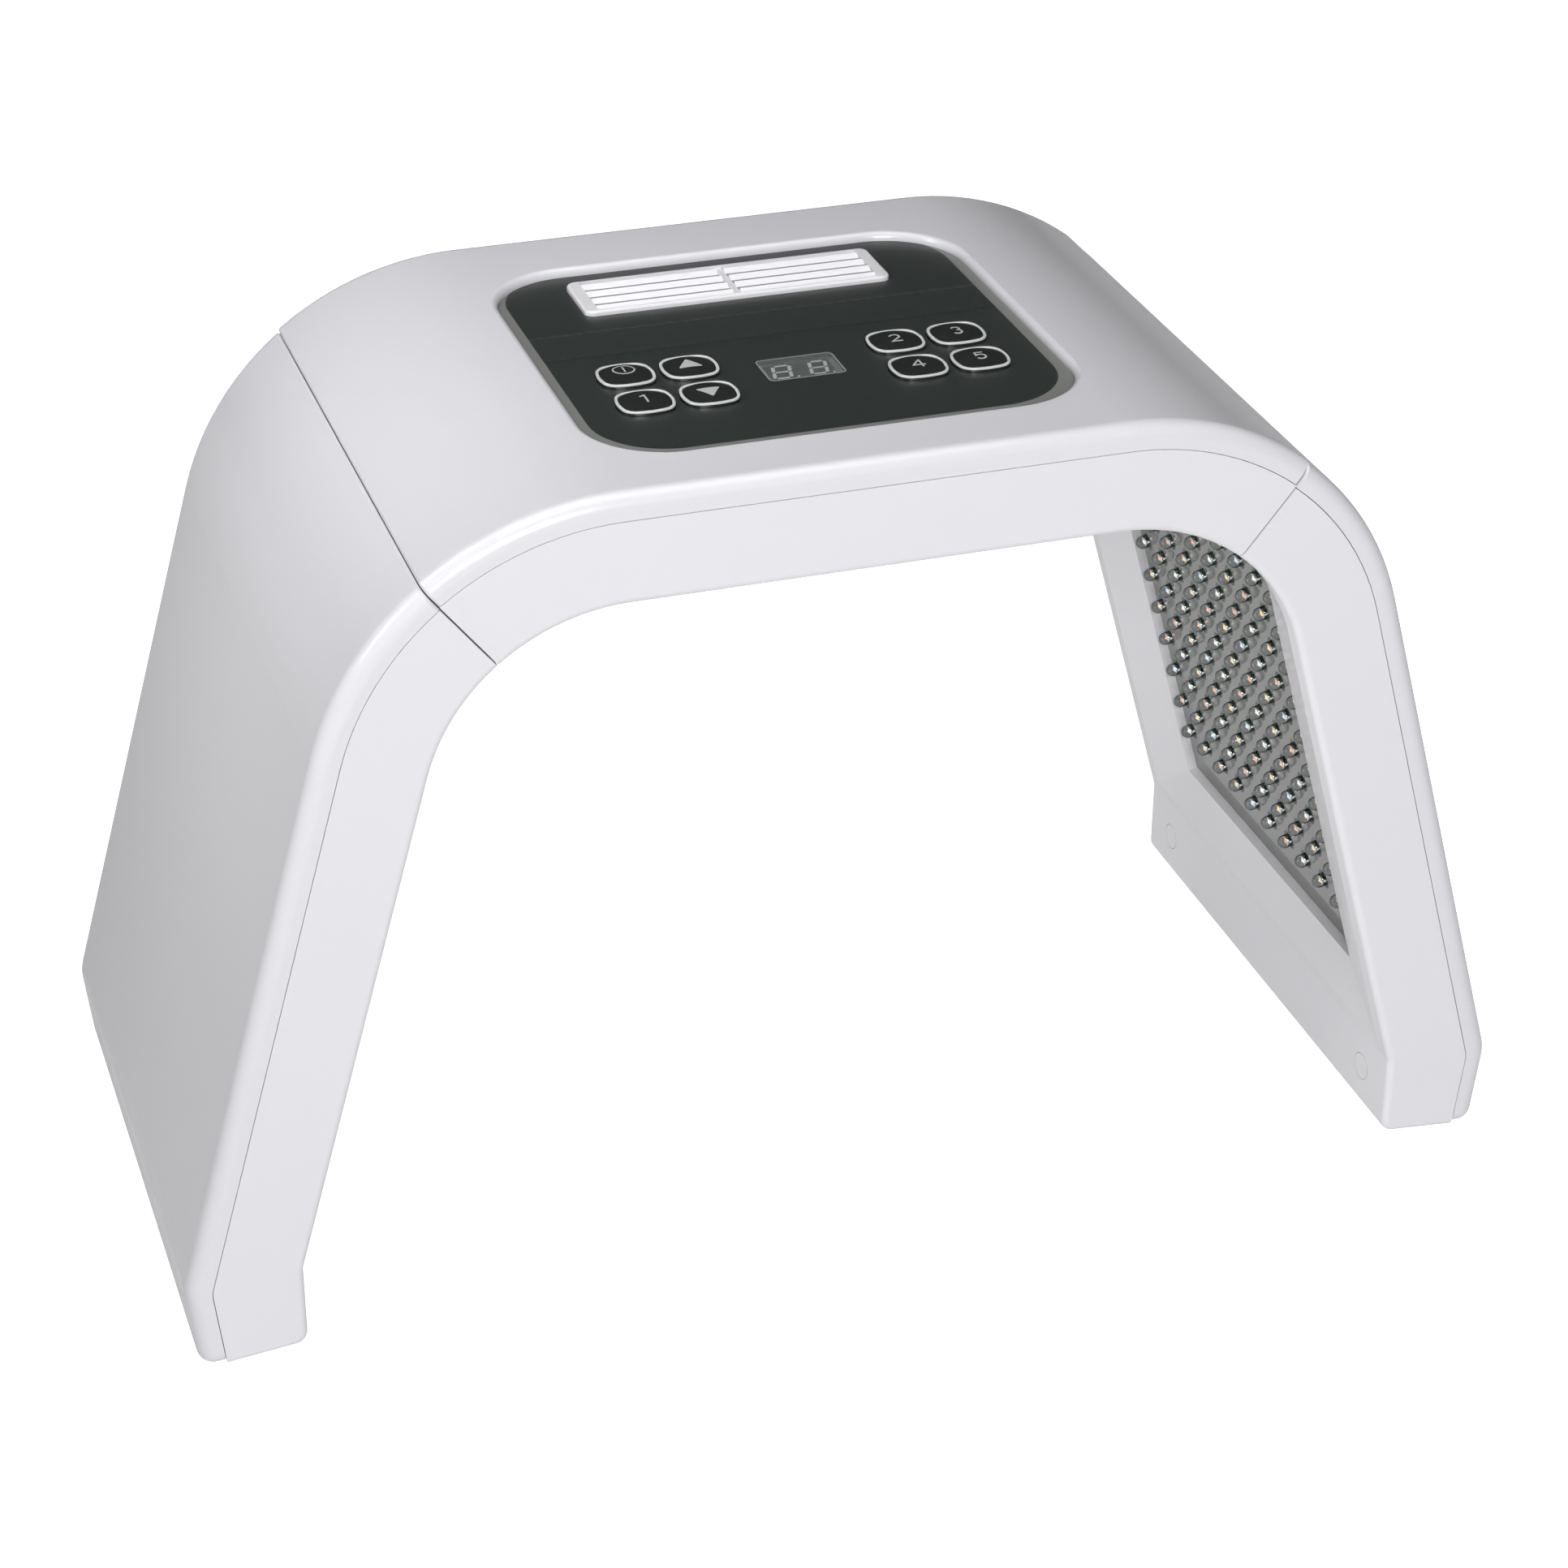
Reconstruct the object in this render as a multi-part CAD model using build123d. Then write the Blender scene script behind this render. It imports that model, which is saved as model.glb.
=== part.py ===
from build123d import *
import os
from math import acos, cos, radians, sin, tan

os.makedirs("parts", exist_ok=True)

# Light therapy arch: a centre section that holds the control panel and the fan, and a wing
# hinged to each end of it. Lamps line the inside of all three sections.
# Millimetres. +X is to the right, +Y points away from the side that the keys are read from,
# +Z is up, and the origin is on the ground in the middle of the base.

# Whole arch
depth = 217.4
feet_width = 479.6
height = 301.6
wing_splay = 15.64
outer_crease = 31.7
inner_crease = 33.7
outer_bend = 105.8
foot_thickness = 40.0
top_thickness = 37.6
bend_thickness = 35.9
outer_crease_round = 20.0
inner_crease_round = 4.0
foot_lean = 6.0
sole_tilt = 5.5

# Seams between the centre and the wings
seam_angle = 51.7
seam_gap = 0.6
wing_step = 0.8
seam_bevel = 0.7

# Shells
wall = 2.5
skirt_depth = 8.6
parting_gap = 0.25
cover_round = 5.5
rim_round = 2.5
foot_outer_round = 6.0
foot_inner_round = 4.5
overrun = 2.0
fit_gap = 0.2
seat_gap = 0.1

# Lamp window and the bezel that slopes down to it
rim_width = 8.5
bezel_depth = 5.7
bezel_width = 27.2
bezel_foot_start = 5.0
bezel_foot_run = 24.0
seam_strip = 5.9
collar = 2.5

# Lamps, lamp plate and lamp board
lamp_pitch = 14.95
centre_lamp_pitch = 14.6
first_lamp_row = 45.8
lamp_edge_gap = 3.5
lamp_seam_gap = 9.0
lamp_diameter = 5.0
lamp_height = 8.6
lamp_flange_diameter = 5.8
lamp_flange_height = 1.0
lamp_hole_gap = 0.3
lamp_sink_diameter = 7.8
lamp_sink_depth = 0.9
plate_front_depth = 9.3
lamp_tip_depth = 4.8
plate_thickness = 2.5
board_thickness = 1.6

# Feet
foot_clearance = 0.4
pad_sunk = 1.5
pad_length = 50.0
pad_width = 15.0
pad_from_end = 34.0
plug_diameter = 10.0
plug_thickness = 1.2
plug_from_face = 21.0
plug_height = 19.5

# Control panel in the top
panel_length = 167.8
panel_width = 155.0
panel_column = 1.0
panel_row = -3.0
panel_corner = 28.0
panel_drop = 2.9
lip_round = 2.4
overlay_thickness = 1.5

# Keys
key_length = 19.3
key_width = 17.8
key_corner = 5.4
key_bulge = 0.4
key_columns_inner = 36.2
key_columns_outer = 58.1
key_columns_middle = 1.1
key_row_rear = -15.9
key_row_front = -38.3
key_ring_width = 1.05
key_ring_height = 0.6
key_ring_rise = 1.5
key_dome_rise = 0.9
key_edge_drop = 0.15
key_sink = 0.7
key_travel = 0.5
key_stem_diameter = 6.0
key_stem_reach = 0.7
key_gap = 0.3

# Display
display_length = 27.0
display_width = 17.6
display_corner = 2.0
display_column = 1.0
display_row = -24.3
display_module_length = 22.6
display_module_width = 14.0
display_module_height = 7.2

# Boards in the centre
switch_body = 6.0
switch_body_height = 2.4
switch_height = 3.4
switch_button_diameter = 3.4
control_board_length = 142.0
control_board_width = 56.0
control_board_row = -25.0
driver_board_length = 44.0
driver_board_width = 44.0
driver_board_column = -56.0
driver_board_from_rear = 37.7
driver_part_height = 5.0
driver_part_length = 16.0
driver_part_width = 12.0
driver_can_diameter = 8.0
post_diameter = 6.0
post_inset = 5.0

# Vent grille
grille_length = 110.4
grille_width = 28.2
grille_from_edge = 22.8
grille_corner = 3.5
grille_border = 4.5
grille_side_border = 1.3
grille_proud = 1.8
grille_edge_round = 1.0
grille_mullion = 2.6
grille_bars = 4
grille_bar_width = 2.6
grille_bar_thickness = 2.2
grille_bar_tilt = 30.0

# Fan under the grille
fan_size = 50.0
fan_thickness = 10.0
fan_bore_diameter = 47.6
fan_corner = 4.0
fan_screw_pitch = 40.0
fan_hub_diameter = 20.0
fan_hub_height = 7.6
fan_base = 1.4
fan_strut_width = 3.0
fan_shaft_diameter = 2.0
fan_shaft_gap = 0.05
fan_blades = 7
fan_blade_thickness = 1.1
fan_blade_pitch = 42.0
fan_tip_gap = 0.7

# Hinges, two at each seam
hinge_from_window = 6.7
hinge_length = 40.0
hinge_knuckles = 5
knuckle_diameter = 5.6
knuckle_gap = 0.3
hinge_pin_diameter = 2.4
hinge_pin_gap = 0.05
hinge_pin_head_diameter = 3.8
hinge_pin_head = 0.8
leaf_thickness = 1.2
leaf_reach = 6.2
leaf_seat = 0.3
leaf_web = 2.4

# Screws
screw_diameter = 2.6
screw_head_diameter = 5.2
screw_head_height = 1.8
screw_gap = 0.1
boss_diameter = 7.0
small_screw_diameter = 1.8
small_screw_head_diameter = 3.4
small_screw_head_height = 1.0
small_screw_length = 4.6
centre_screw_column = 66.0
centre_screw_from_face = 20.0

# Power jack in the rear wall
jack_column = -50.0
jack_height_share = 0.45
jack_nose_diameter = 8.6
jack_bore_diameter = 6.0
jack_pin_diameter = 2.0
jack_bore_depth = 9.0
jack_body_length = 13.0
jack_body_width = 10.0
jack_body_height = 9.6
lead_diameter = 2.6

splay = radians(wing_splay)
seam = radians(seam_angle)
turn = radians(90 - wing_splay)
lean = radians(foot_lean)
sole = radians(sole_tilt)


# Arch outlines. An arch is its half width at the crease above the foot, the height of that crease,
# its top, its bend radius and the lean of its foot below the crease. Insetting moves the whole
# outline towards the inside of the arch.
def arch(half_width, crease, top, bend, crease_radius, foot):
    return {
        "half": half_width,
        "crease": crease,
        "top": top,
        "bend": bend,
        "round": crease_radius,
        "foot": foot,
    }


def inset(a, distance):
    share = distance / (1 + cos(splay + a["foot"]))
    return arch(
        a["half"] - share * (cos(splay) + cos(a["foot"])),
        a["crease"] - share * (sin(splay) - sin(a["foot"])),
        a["top"] - distance,
        a["bend"] - distance,
        max(a["round"] - distance, overrun),
        a["foot"],
    )


def corner_x(a):
    return a["half"] - (a["top"] - a["crease"]) * tan(splay)


def bend_centre(a):
    return corner_x(a) - a["bend"] * tan(turn / 2), a["top"] - a["bend"]


wing_outer = arch(feet_width / 2, outer_crease, height - wing_step, outer_bend, outer_crease_round, lean)
centre_outer = inset(wing_outer, -wing_step)
inner = arch(
    feet_width / 2 - foot_thickness,
    inner_crease,
    height - top_thickness,
    outer_bend - bend_thickness,
    inner_crease_round,
    0,
)
bend_x, bend_z = bend_centre(inner)
inner_bend = inner["bend"]
reach = feet_width / 2 + height

# The soles slope up towards the inside of the arch, from the rounded outer edge of each foot.
edge_lift = foot_outer_round * ((cos(sole) + sin(lean)) / (1 + sin(lean - sole)) - 1)
sole_low = foot_clearance - edge_lift
foot_end = feet_width / 2 - (outer_crease - sole_low) * tan(lean)


def sole_height(x):
    return sole_low + (foot_end - abs(x)) * tan(sole)


def foot_face_x(a, z):
    return a["half"] - (a["crease"] - z) * tan(a["foot"])


# Face inside a loop of (x, y, radius) corners, where each radius rounds its own corner.
def rounded_face(corners):
    points = [Vector(x, y) for x, y, radius in corners]
    starts = []
    ends = []
    middles = []
    for i, corner in enumerate(points):
        arriving = (corner - points[i - 1]).normalized()
        leaving = (points[(i + 1) % len(points)] - corner).normalized()
        bend = acos(max(-1, min(1, arriving.dot(leaving))))
        radius = corners[i][2]
        setback = radius * tan(bend / 2)
        inward = (leaving - arriving).normalized()
        starts.append(corner - arriving * setback)
        ends.append(corner + leaving * setback)
        middles.append(corner + inward * (radius / cos(bend / 2) - radius))
    edges = []
    for i in range(len(points)):
        if corners[i][2] > 0:
            edges.append(ThreePointArc(starts[i], middles[i], ends[i]))
        edges.append(Line(ends[i], starts[(i + 1) % len(points)]))
    return make_face(edges)


def rectangle(length, width, corner=0):
    a = length / 2
    b = width / 2
    return rounded_face([(-a, -b, corner), (a, -b, corner), (a, b, corner), (-a, b, corner)])


# Face of an arch down to a line that is raised above the soles.
def arch_face(a, raised, foot_round=0):
    end = foot_face_x(a, 0)
    z = (sole_height(end) + raised) / (1 + tan(sole) * tan(a["foot"]))
    left = [
        (-foot_face_x(a, z), z, foot_round),
        (-a["half"], a["crease"], a["round"]),
        (-corner_x(a), a["top"], a["bend"]),
    ]
    right = [(-x, z, radius) for x, z, radius in reversed(left)]
    return rounded_face(left + right + [(0, sole_height(0) + raised, 0)])


# Solid of an upright face, its width shared equally in front of and behind the middle plane.
def slab(face, width):
    return extrude(Plane.XZ * face, amount=width / 2, both=True)


# Solid of a level face between two heights.
def block(face, low, high):
    return extrude(Pos(0, 0, low) * face, amount=high - low)


def mirrored(shape):
    return mirror(shape, about=Plane.YZ)


def edges_beside(shape, a, width):
    outline = (Plane.XZ * arch_face(a, -reach)).wire()
    chosen = []
    for edge in shape.edges():
        middle = edge @ 0.5
        flat = Vertex(middle.X, 0, middle.Z)
        on_face = abs(abs(middle.Y) - width / 2) < seat_gap
        if on_face and outline.distance_to(flat) < seat_gap and middle.Z > sole_height(middle.X) + seat_gap:
            chosen.append(edge)
    return chosen


# Filled arch whose two long outer edges are rounded.
def rounded_arch(a, width, raised, foot_round, radius):
    body = slab(arch_face(a, raised, foot_round), width)
    long_edges = []
    for edge in body.edges():
        middle = edge @ 0.5
        above = middle.Z > sole_height(middle.X) + raised + seat_gap
        if abs(abs(middle.Y) - width / 2) < seat_gap and above:
            long_edges.append(edge)
    return fillet(long_edges, radius)


# Everything on the wing side of the right seam, or between the two seams, less a margin.
def wing_region(margin):
    start = Vector(bend_x + sin(seam) * margin, bend_z - cos(seam) * margin)
    end = start + Vector(cos(seam), sin(seam)) * reach
    return slab(Plane.XY * make_face(Polyline(
        start,
        end,
        (end.X + reach, end.Y),
        (end.X + reach, -reach),
        (start.X, -reach),
        close=True,
    )), depth + 2 * reach)


def centre_region(margin):
    start = Vector(bend_x - sin(seam) * margin, bend_z + cos(seam) * margin)
    end = start + Vector(cos(seam), sin(seam)) * reach
    return slab(make_face(Polyline(
        (-start.X, start.Y),
        start,
        end,
        (-end.X, end.Y),
        close=True,
    )), depth + 2 * reach)


# Sections across the band are drawn with x along the depth of the arch and y outwards from the
# inner face, then carried along the wing or along the centre.
seam_half = seam_gap / 2
wing_straight = (bend_z + inner_bend * sin(splay) - inner["crease"]) / cos(splay)
wing_up = Vector(-sin(splay), 0, cos(splay))
wing_out = Vector(cos(splay), 0, sin(splay))
wing_crease = Vector(inner["half"], 0, inner["crease"])
wing_bend_start = wing_crease + wing_up * wing_straight
wing_section_plane = Plane(origin=wing_bend_start, x_dir=(0, -1, 0), z_dir=wing_up)
centre_section_plane = Plane(origin=(bend_x, 0, inner["top"]), x_dir=(0, 1, 0), z_dir=(1, 0, 0))
bend_axis_up = Axis((bend_x, 0, bend_z), (0, -1, 0))
bend_axis_down = Axis((bend_x, 0, bend_z), (0, 1, 0))


def along_wing(section, start, short_of_seam):
    placed = wing_section_plane * section
    straight = extrude(placed, amount=-(wing_straight - start))
    angle = seam_angle - wing_splay - short_of_seam * 180 / (3.14159265 * inner_bend)
    return straight + revolve(placed, bend_axis_up, angle)


def along_centre(section, short_of_seam):
    placed = centre_section_plane * section
    straight = extrude(placed, amount=-2 * bend_x)
    angle = 90 - seam_angle - short_of_seam * 180 / (3.14159265 * inner_bend)
    bend = revolve(placed, bend_axis_down, angle)
    return straight + bend + mirrored(bend)


def strip(half_width, low, high):
    return Pos(0, (low + high) / 2) * rectangle(2 * half_width, high - low)


bezel_mouth = depth / 2 - rim_width
window_half = bezel_mouth - bezel_width
past_seam = -overrun * 2


# Trough of the bezel. Lifted by a wall it is the skin's back, and unlifted it is what is cut out.
def bezel_section(lift, start):
    return make_face(Polyline(
        (-bezel_mouth, start),
        (-bezel_mouth, lift),
        (-window_half, lift + bezel_depth),
        (window_half, lift + bezel_depth),
        (bezel_mouth, lift),
        (bezel_mouth, start),
        close=True,
    ))


def wing_bezel(lift, start):
    trough = along_wing(bezel_section(lift, start), 0, past_seam)
    foot_slope = Plane(origin=wing_crease, x_dir=wing_up, z_dir=(0, 1, 0)) * make_face(Polyline(
        (bezel_foot_start, lift),
        (bezel_foot_run, lift + bezel_depth),
        (bezel_foot_run, lift + bezel_depth + overrun),
        (-overrun, lift + bezel_depth + overrun),
        (-overrun, lift),
        close=True,
    ))
    return trough - extrude(foot_slope, amount=depth / 2, both=True)


def centre_bezel(lift, start):
    return along_centre(bezel_section(lift, start), past_seam)


# Lamp places: a point on the lamp board and the direction that the lamp points in.
board_front_depth = lamp_tip_depth + lamp_height
plate_bend = inner_bend + plate_front_depth


wing_lamp_run = wing_straight + (seam - splay) * plate_bend
centre_lamp_run = bend_x + (radians(90) - seam) * plate_bend
lamp_columns = int(2 * (window_half - lamp_edge_gap) / lamp_pitch) + 1
wing_lamp_rows = int((wing_lamp_run - lamp_seam_gap - first_lamp_row) / lamp_pitch) + 1
centre_lamp_rows = int((centre_lamp_run - lamp_seam_gap) / centre_lamp_pitch + 0.5)


def lamp_columns_y():
    first = -(lamp_columns - 1) * lamp_pitch / 2
    return [first + i * lamp_pitch for i in range(lamp_columns)]


def on_bend(angle, y, depth_out):
    outward = Vector(cos(angle), 0, sin(angle))
    return Vector(bend_x, y, bend_z) + outward * (inner_bend + depth_out), outward * -1


def wing_lamp_places():
    places = []
    for row in range(wing_lamp_rows):
        run = first_lamp_row + row * lamp_pitch
        for y in lamp_columns_y():
            if run < wing_straight:
                point = wing_crease + wing_up * run + wing_out * board_front_depth + Vector(0, y, 0)
                places.append((point, wing_out * -1))
            else:
                angle = splay + (run - wing_straight) / plate_bend
                places.append(on_bend(angle, y, board_front_depth))
    return places


def centre_lamp_places():
    places = []
    for row in range(centre_lamp_rows):
        run = (row + 0.5) * centre_lamp_pitch
        for y in lamp_columns_y():
            if run < bend_x:
                point = Vector(run, y, inner["top"] + board_front_depth)
                direction = Vector(0, 0, -1)
            else:
                point, direction = on_bend(radians(90) - (run - bend_x) / plate_bend, y, board_front_depth)
            places.append((point, direction))
            places.append((Vector(-point.X, point.Y, point.Z), Vector(-direction.X, 0, direction.Z)))
    return places


def lamp():
    radius = lamp_diameter / 2
    flange = Cylinder(lamp_flange_diameter / 2, lamp_flange_height, align=(Align.CENTER, Align.CENTER, Align.MIN))
    stem = Cylinder(radius, lamp_height - radius, align=(Align.CENTER, Align.CENTER, Align.MIN))
    dome = Pos(0, 0, lamp_height - radius) * Sphere(radius)
    return Pos(0, 0, seat_gap) * (flange + stem + dome)


# Hole for a lamp, widened to a cone where it meets the front of the lamp plate.
def lamp_hole():
    radius = lamp_diameter / 2 + lamp_hole_gap
    front = board_front_depth - plate_front_depth
    outline = make_face(Polyline(
        (0, -lamp_height),
        (radius, -lamp_height),
        (radius, front - lamp_sink_depth),
        (lamp_sink_diameter / 2, front),
        (lamp_sink_diameter / 2, lamp_height),
        (0, lamp_height),
        close=True,
    ))
    return revolve(Plane.XZ * outline, Axis.Z)


def placed_copies(shape, places):
    return [Plane(origin=point, z_dir=direction).location * shape for point, direction in places]


def group(shapes):
    solids = []
    for shape in shapes:
        solids += shape.solids()
    return Compound(children=solids)


def tidy_solid(shape):
    solids = sorted(shape.solids(), key=lambda solid: solid.volume)
    return solids[-1]


# Screws. Both kinds stand on the origin with the shank pointing up and the head below it.
def screw(diameter, head_diameter, head_height, length):
    head = Cylinder(head_diameter / 2, head_height, align=(Align.CENTER, Align.CENTER, Align.MAX))
    shank = Cylinder(diameter / 2, length, align=(Align.CENTER, Align.CENTER, Align.MIN))
    return fillet(head.edges().group_by(Axis.Z)[0], head_height / 4) + shank


def small_screw():
    return screw(small_screw_diameter, small_screw_head_diameter, small_screw_head_height, small_screw_length)


def bore(diameter, length):
    return Cylinder(diameter / 2, length, align=(Align.CENTER, Align.CENTER, Align.MIN))


# Frame of the right seam: x runs along the band towards the wing and y outwards.
hinge_row = window_half - hinge_from_window - hinge_length / 2
seam_out = Vector(cos(seam), 0, sin(seam))
seam_along = Vector(sin(seam), 0, -cos(seam))
hinge_axis_point = Vector(bend_x, 0, bend_z) + seam_out * inner_bend
seam_plane = Plane(origin=hinge_axis_point, x_dir=seam_along, z_dir=(0, -1, 0))


def seam_solid(face, low, high):
    return extrude(seam_plane.offset(-high) * face, amount=high - low)


leaf_top = bezel_depth - leaf_seat
leaf_low = leaf_top - leaf_thickness
knuckle_length = hinge_length / hinge_knuckles


def leaf_screw_places(side):
    places = []
    for row in (-hinge_row, hinge_row):
        for step in (-hinge_length / 4, hinge_length / 4):
            along = side * (seam_half + leaf_web + leaf_reach) / 2
            point = hinge_axis_point + seam_along * along + seam_out * leaf_low + Vector(0, row + step, 0)
            places.append((point, seam_out))
    return places


# One hinge leaf: side is +1 for the wing's leaf and -1 for the centre's.
def hinge_leaf(side, row):
    low = row - hinge_length / 2
    a = side * seam_half
    leaf_face = Pos(side * (seam_half + leaf_reach) / 2, (leaf_low + leaf_top) / 2) * Rectangle(
        leaf_reach - seam_half, leaf_thickness
    )
    leaf = seam_solid(leaf_face, low, low + hinge_length)
    web_face = Pos(a + side * leaf_web / 2, leaf_top / 2) * Rectangle(leaf_web, leaf_top)
    first = 1 if side > 0 else 0
    for i in range(first, hinge_knuckles, 2):
        start = low + i * knuckle_length + knuckle_gap / 2
        end = low + (i + 1) * knuckle_length - knuckle_gap / 2
        barrel = Circle(knuckle_diameter / 2) + web_face
        leaf += seam_solid(barrel, start, end)
    pin_hole = Circle(hinge_pin_diameter / 2 + hinge_pin_gap)
    leaf -= seam_solid(pin_hole, low - overrun, low + hinge_length + overrun)
    for point, direction in leaf_screw_places(side):
        if abs(point.Y - row) < hinge_length:
            hole = Plane(origin=point, z_dir=direction).location * bore(small_screw_diameter + 2 * screw_gap, overrun)
            leaf -= hole
    return leaf


def hinge_pin(row):
    low = row - hinge_length / 2
    pin = seam_solid(Circle(hinge_pin_diameter / 2), low - hinge_pin_head, low + hinge_length + hinge_pin_head)
    head = Circle(hinge_pin_head_diameter / 2)
    pin += seam_solid(head, low - hinge_pin_head, low + knuckle_gap / 2 - knuckle_gap)
    pin += seam_solid(head, low + hinge_length + knuckle_gap / 2, low + hinge_length + hinge_pin_head)
    return pin


# Outer edges of a solid where a plane square to (normal) cuts it, less those on the parting line.
def seam_edges(shape, point, normal, low_line):
    line = (Plane.XZ * arch_face(low_line, -reach)).wire()
    chosen = []
    for face in shape.faces():
        direction = face.normal_at()
        if abs(abs(direction.dot(normal)) - 1) > seat_gap / depth:
            continue
        if abs((face.center() - point).dot(normal)) > seat_gap:
            continue
        for edge in face.edges():
            middle = edge @ 0.5
            if line.distance_to(Vertex(middle.X, 0, middle.Z)) > seat_gap:
                chosen.append(edge)
    return chosen


# Cover: skin and side skirts, closed at the seams and at the foot.
def cover(outer, region, hollow_region, seam_faces):
    filled = rounded_arch(outer, depth, 0, foot_outer_round, cover_round)
    under = slab(arch_face(inset(outer, skirt_depth), -reach), depth + 2 * overrun)
    hollow = rounded_arch(inset(outer, wall), depth - 2 * wall, wall, overrun, cover_round - wall)
    skirt = (filled - under) & region
    for point, normal in seam_faces:
        skirt = chamfer(seam_edges(skirt, point, normal, inset(outer, skirt_depth)), seam_bevel)
    return skirt - (hollow & hollow_region)


# Tray: inner face, side walls and end walls, open towards the cover.
def tray(outer, region, hollow_region):
    top_line = inset(outer, skirt_depth + parting_gap)
    band = arch_face(top_line, 0) - arch_face(inner, -reach)
    toes = [
        corner
        for corner in band.vertices()
        if abs(abs(corner.X) - inner["half"]) < seat_gap and abs(corner.Y - sole_height(corner.X)) < seat_gap
    ]
    body = slab(fillet(toes, foot_inner_round), depth)
    body = fillet(edges_beside(body, inner, depth), rim_round)
    hollow = slab(arch_face(outer, wall) - arch_face(inset(inner, -wall), -reach), depth - 2 * wall)
    return (body & region) - (hollow & hollow_region)


def collar_ring(run):
    return run(strip(window_half + collar, bezel_depth, plate_front_depth))


jack_z = inner["top"] + (top_thickness - skirt_depth) * jack_height_share + collar
jack_point = Vector(jack_column, depth / 2, jack_z)
top_z = height
overlay_top = top_z - panel_drop
floor_top = overlay_top - overlay_thickness
floor_under = floor_top - wall
grille_row = panel_row + panel_width / 2 - grille_from_edge
driver_board_row = depth / 2 - driver_board_from_rear - driver_board_width / 2
board_top = floor_top - fit_gap - display_module_height
board_low = board_top - board_thickness


# Wing sections
wing_in = wing_region(seam_half)
wing_hollow_in = wing_region(seam_half + wall)
seam_normal = Vector(sin(seam), 0, -cos(seam))
seam_middle = Vector(bend_x, 0, bend_z)
wing_cover = cover(wing_outer, wing_in, wing_hollow_in, [(seam_middle + seam_normal * seam_half, seam_normal)])
wing_tray = tray(wing_outer, wing_in, wing_hollow_in)
wing_back = wing_bezel(wall, 0) & wing_in
window = strip(window_half, -overrun, plate_front_depth + overrun)
wing_collar = along_wing(
    strip(window_half + collar, bezel_depth, plate_front_depth), bezel_foot_run - collar, seam_strip - collar
)
wing_tray = wing_tray + wing_back + wing_collar
wing_tray -= wing_bezel(0, -overrun)
wing_tray -= along_wing(window, bezel_foot_run, seam_strip)


# Screw joints: a boss on the cover meets a sleeve on the tray, and the screw goes in from inside.
def foot_plug_places():
    rows = (-depth / 2 + plug_from_face, depth / 2 - plug_from_face)
    return [(Vector(inner["half"], row, plug_height), Vector(1, 0, 0)) for row in rows]


foot_boss_end = foot_face_x(wing_outer, plug_height) - wall / 2
sleeve_length = plug_thickness + 2 * wall
for point, direction in foot_plug_places():
    here = Plane(origin=point, z_dir=direction).location
    sleeve = here * bore(plug_diameter + 2 * wall, sleeve_length)
    boss = here * Pos(0, 0, sleeve_length) * bore(boss_diameter, foot_boss_end - inner["half"] - sleeve_length + seat_gap)
    wing_tray += sleeve
    wing_tray -= here * bore(plug_diameter + 2 * fit_gap, plug_thickness + screw_head_height)
    wing_tray -= here * bore(screw_diameter + 2 * fit_gap, sleeve_length * 2)
    wing_cover += boss
    wing_cover -= here * bore(screw_diameter + 2 * screw_gap, foot_boss_end - inner["half"] - wall)

foot_screw_length = (foot_boss_end - inner["half"]) / 2
wing_screws = [
    Plane(origin=point + direction * (plug_thickness + screw_head_height), z_dir=direction).location
    * screw(screw_diameter, screw_head_diameter, screw_head_height, foot_screw_length)
    for point, direction in foot_plug_places()
]
wing_plugs = [
    Plane(origin=point, z_dir=direction).location * bore(plug_diameter, plug_thickness)
    for point, direction in foot_plug_places()
]

# Rubber pads let into the sole of the foot. Each is a wedge that is level where it stands.
pad_x = (inner["half"] + foot_end - skirt_depth) / 2
pad_rows = (-depth / 2 + pad_from_end, depth / 2 - pad_from_end)
pad_face = rectangle(pad_width, pad_length, pad_width / 2 - fit_gap)
pad_hole = rectangle(pad_width + 2 * fit_gap, pad_length + 2 * fit_gap, pad_width / 2)
wing_pads = []
above_ground = block(rectangle(feet_width * 2, depth * 2), 0, height)
for row in pad_rows:
    sole_point = Vector(pad_x, row, sole_height(pad_x))
    sole_plane = Plane(origin=sole_point, x_dir=(cos(sole), 0, -sin(sole)), z_dir=(sin(sole), 0, cos(sole)))
    wing_pads.append((sole_plane.location * block(pad_face, -pad_width, pad_sunk)) & above_ground)
    wing_tray -= sole_plane.location * block(pad_hole, -overrun, pad_sunk)

# Lamp plates and boards
plate_section = strip(window_half + collar, plate_front_depth, plate_front_depth + plate_thickness)
board_section = strip(window_half + collar, board_front_depth, board_front_depth + board_thickness)
wing_plate = along_wing(plate_section, bezel_foot_run - collar, seam_strip - collar)
wing_plate -= placed_copies(lamp_hole(), wing_lamp_places())
wing_board = along_wing(board_section, bezel_foot_run - collar, seam_strip - collar)
wing_lamps = placed_copies(lamp(), wing_lamp_places())

# Centre section
centre_in = centre_region(seam_half)
centre_hollow_in = centre_region(seam_half + wall)
other_normal = Vector(-seam_normal.X, 0, seam_normal.Z)
other_middle = Vector(-bend_x, 0, bend_z)
centre_seams = [
    (seam_middle - seam_normal * seam_half, seam_normal),
    (other_middle - other_normal * seam_half, other_normal),
]
centre_cover = cover(centre_outer, centre_in, centre_hollow_in, centre_seams)
centre_tray = tray(centre_outer, centre_in, centre_hollow_in)
centre_back = centre_bezel(wall, 0) & centre_in
centre_collar = along_centre(strip(window_half + collar, bezel_depth, plate_front_depth), seam_strip - collar)
centre_tray = centre_tray + centre_back + centre_collar
centre_tray -= centre_bezel(0, -overrun)
centre_tray -= along_centre(window, seam_strip)
centre_plate = along_centre(plate_section, seam_strip - collar)
centre_plate -= placed_copies(lamp_hole(), centre_lamp_places())
centre_board = along_centre(board_section, seam_strip - collar)
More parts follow.
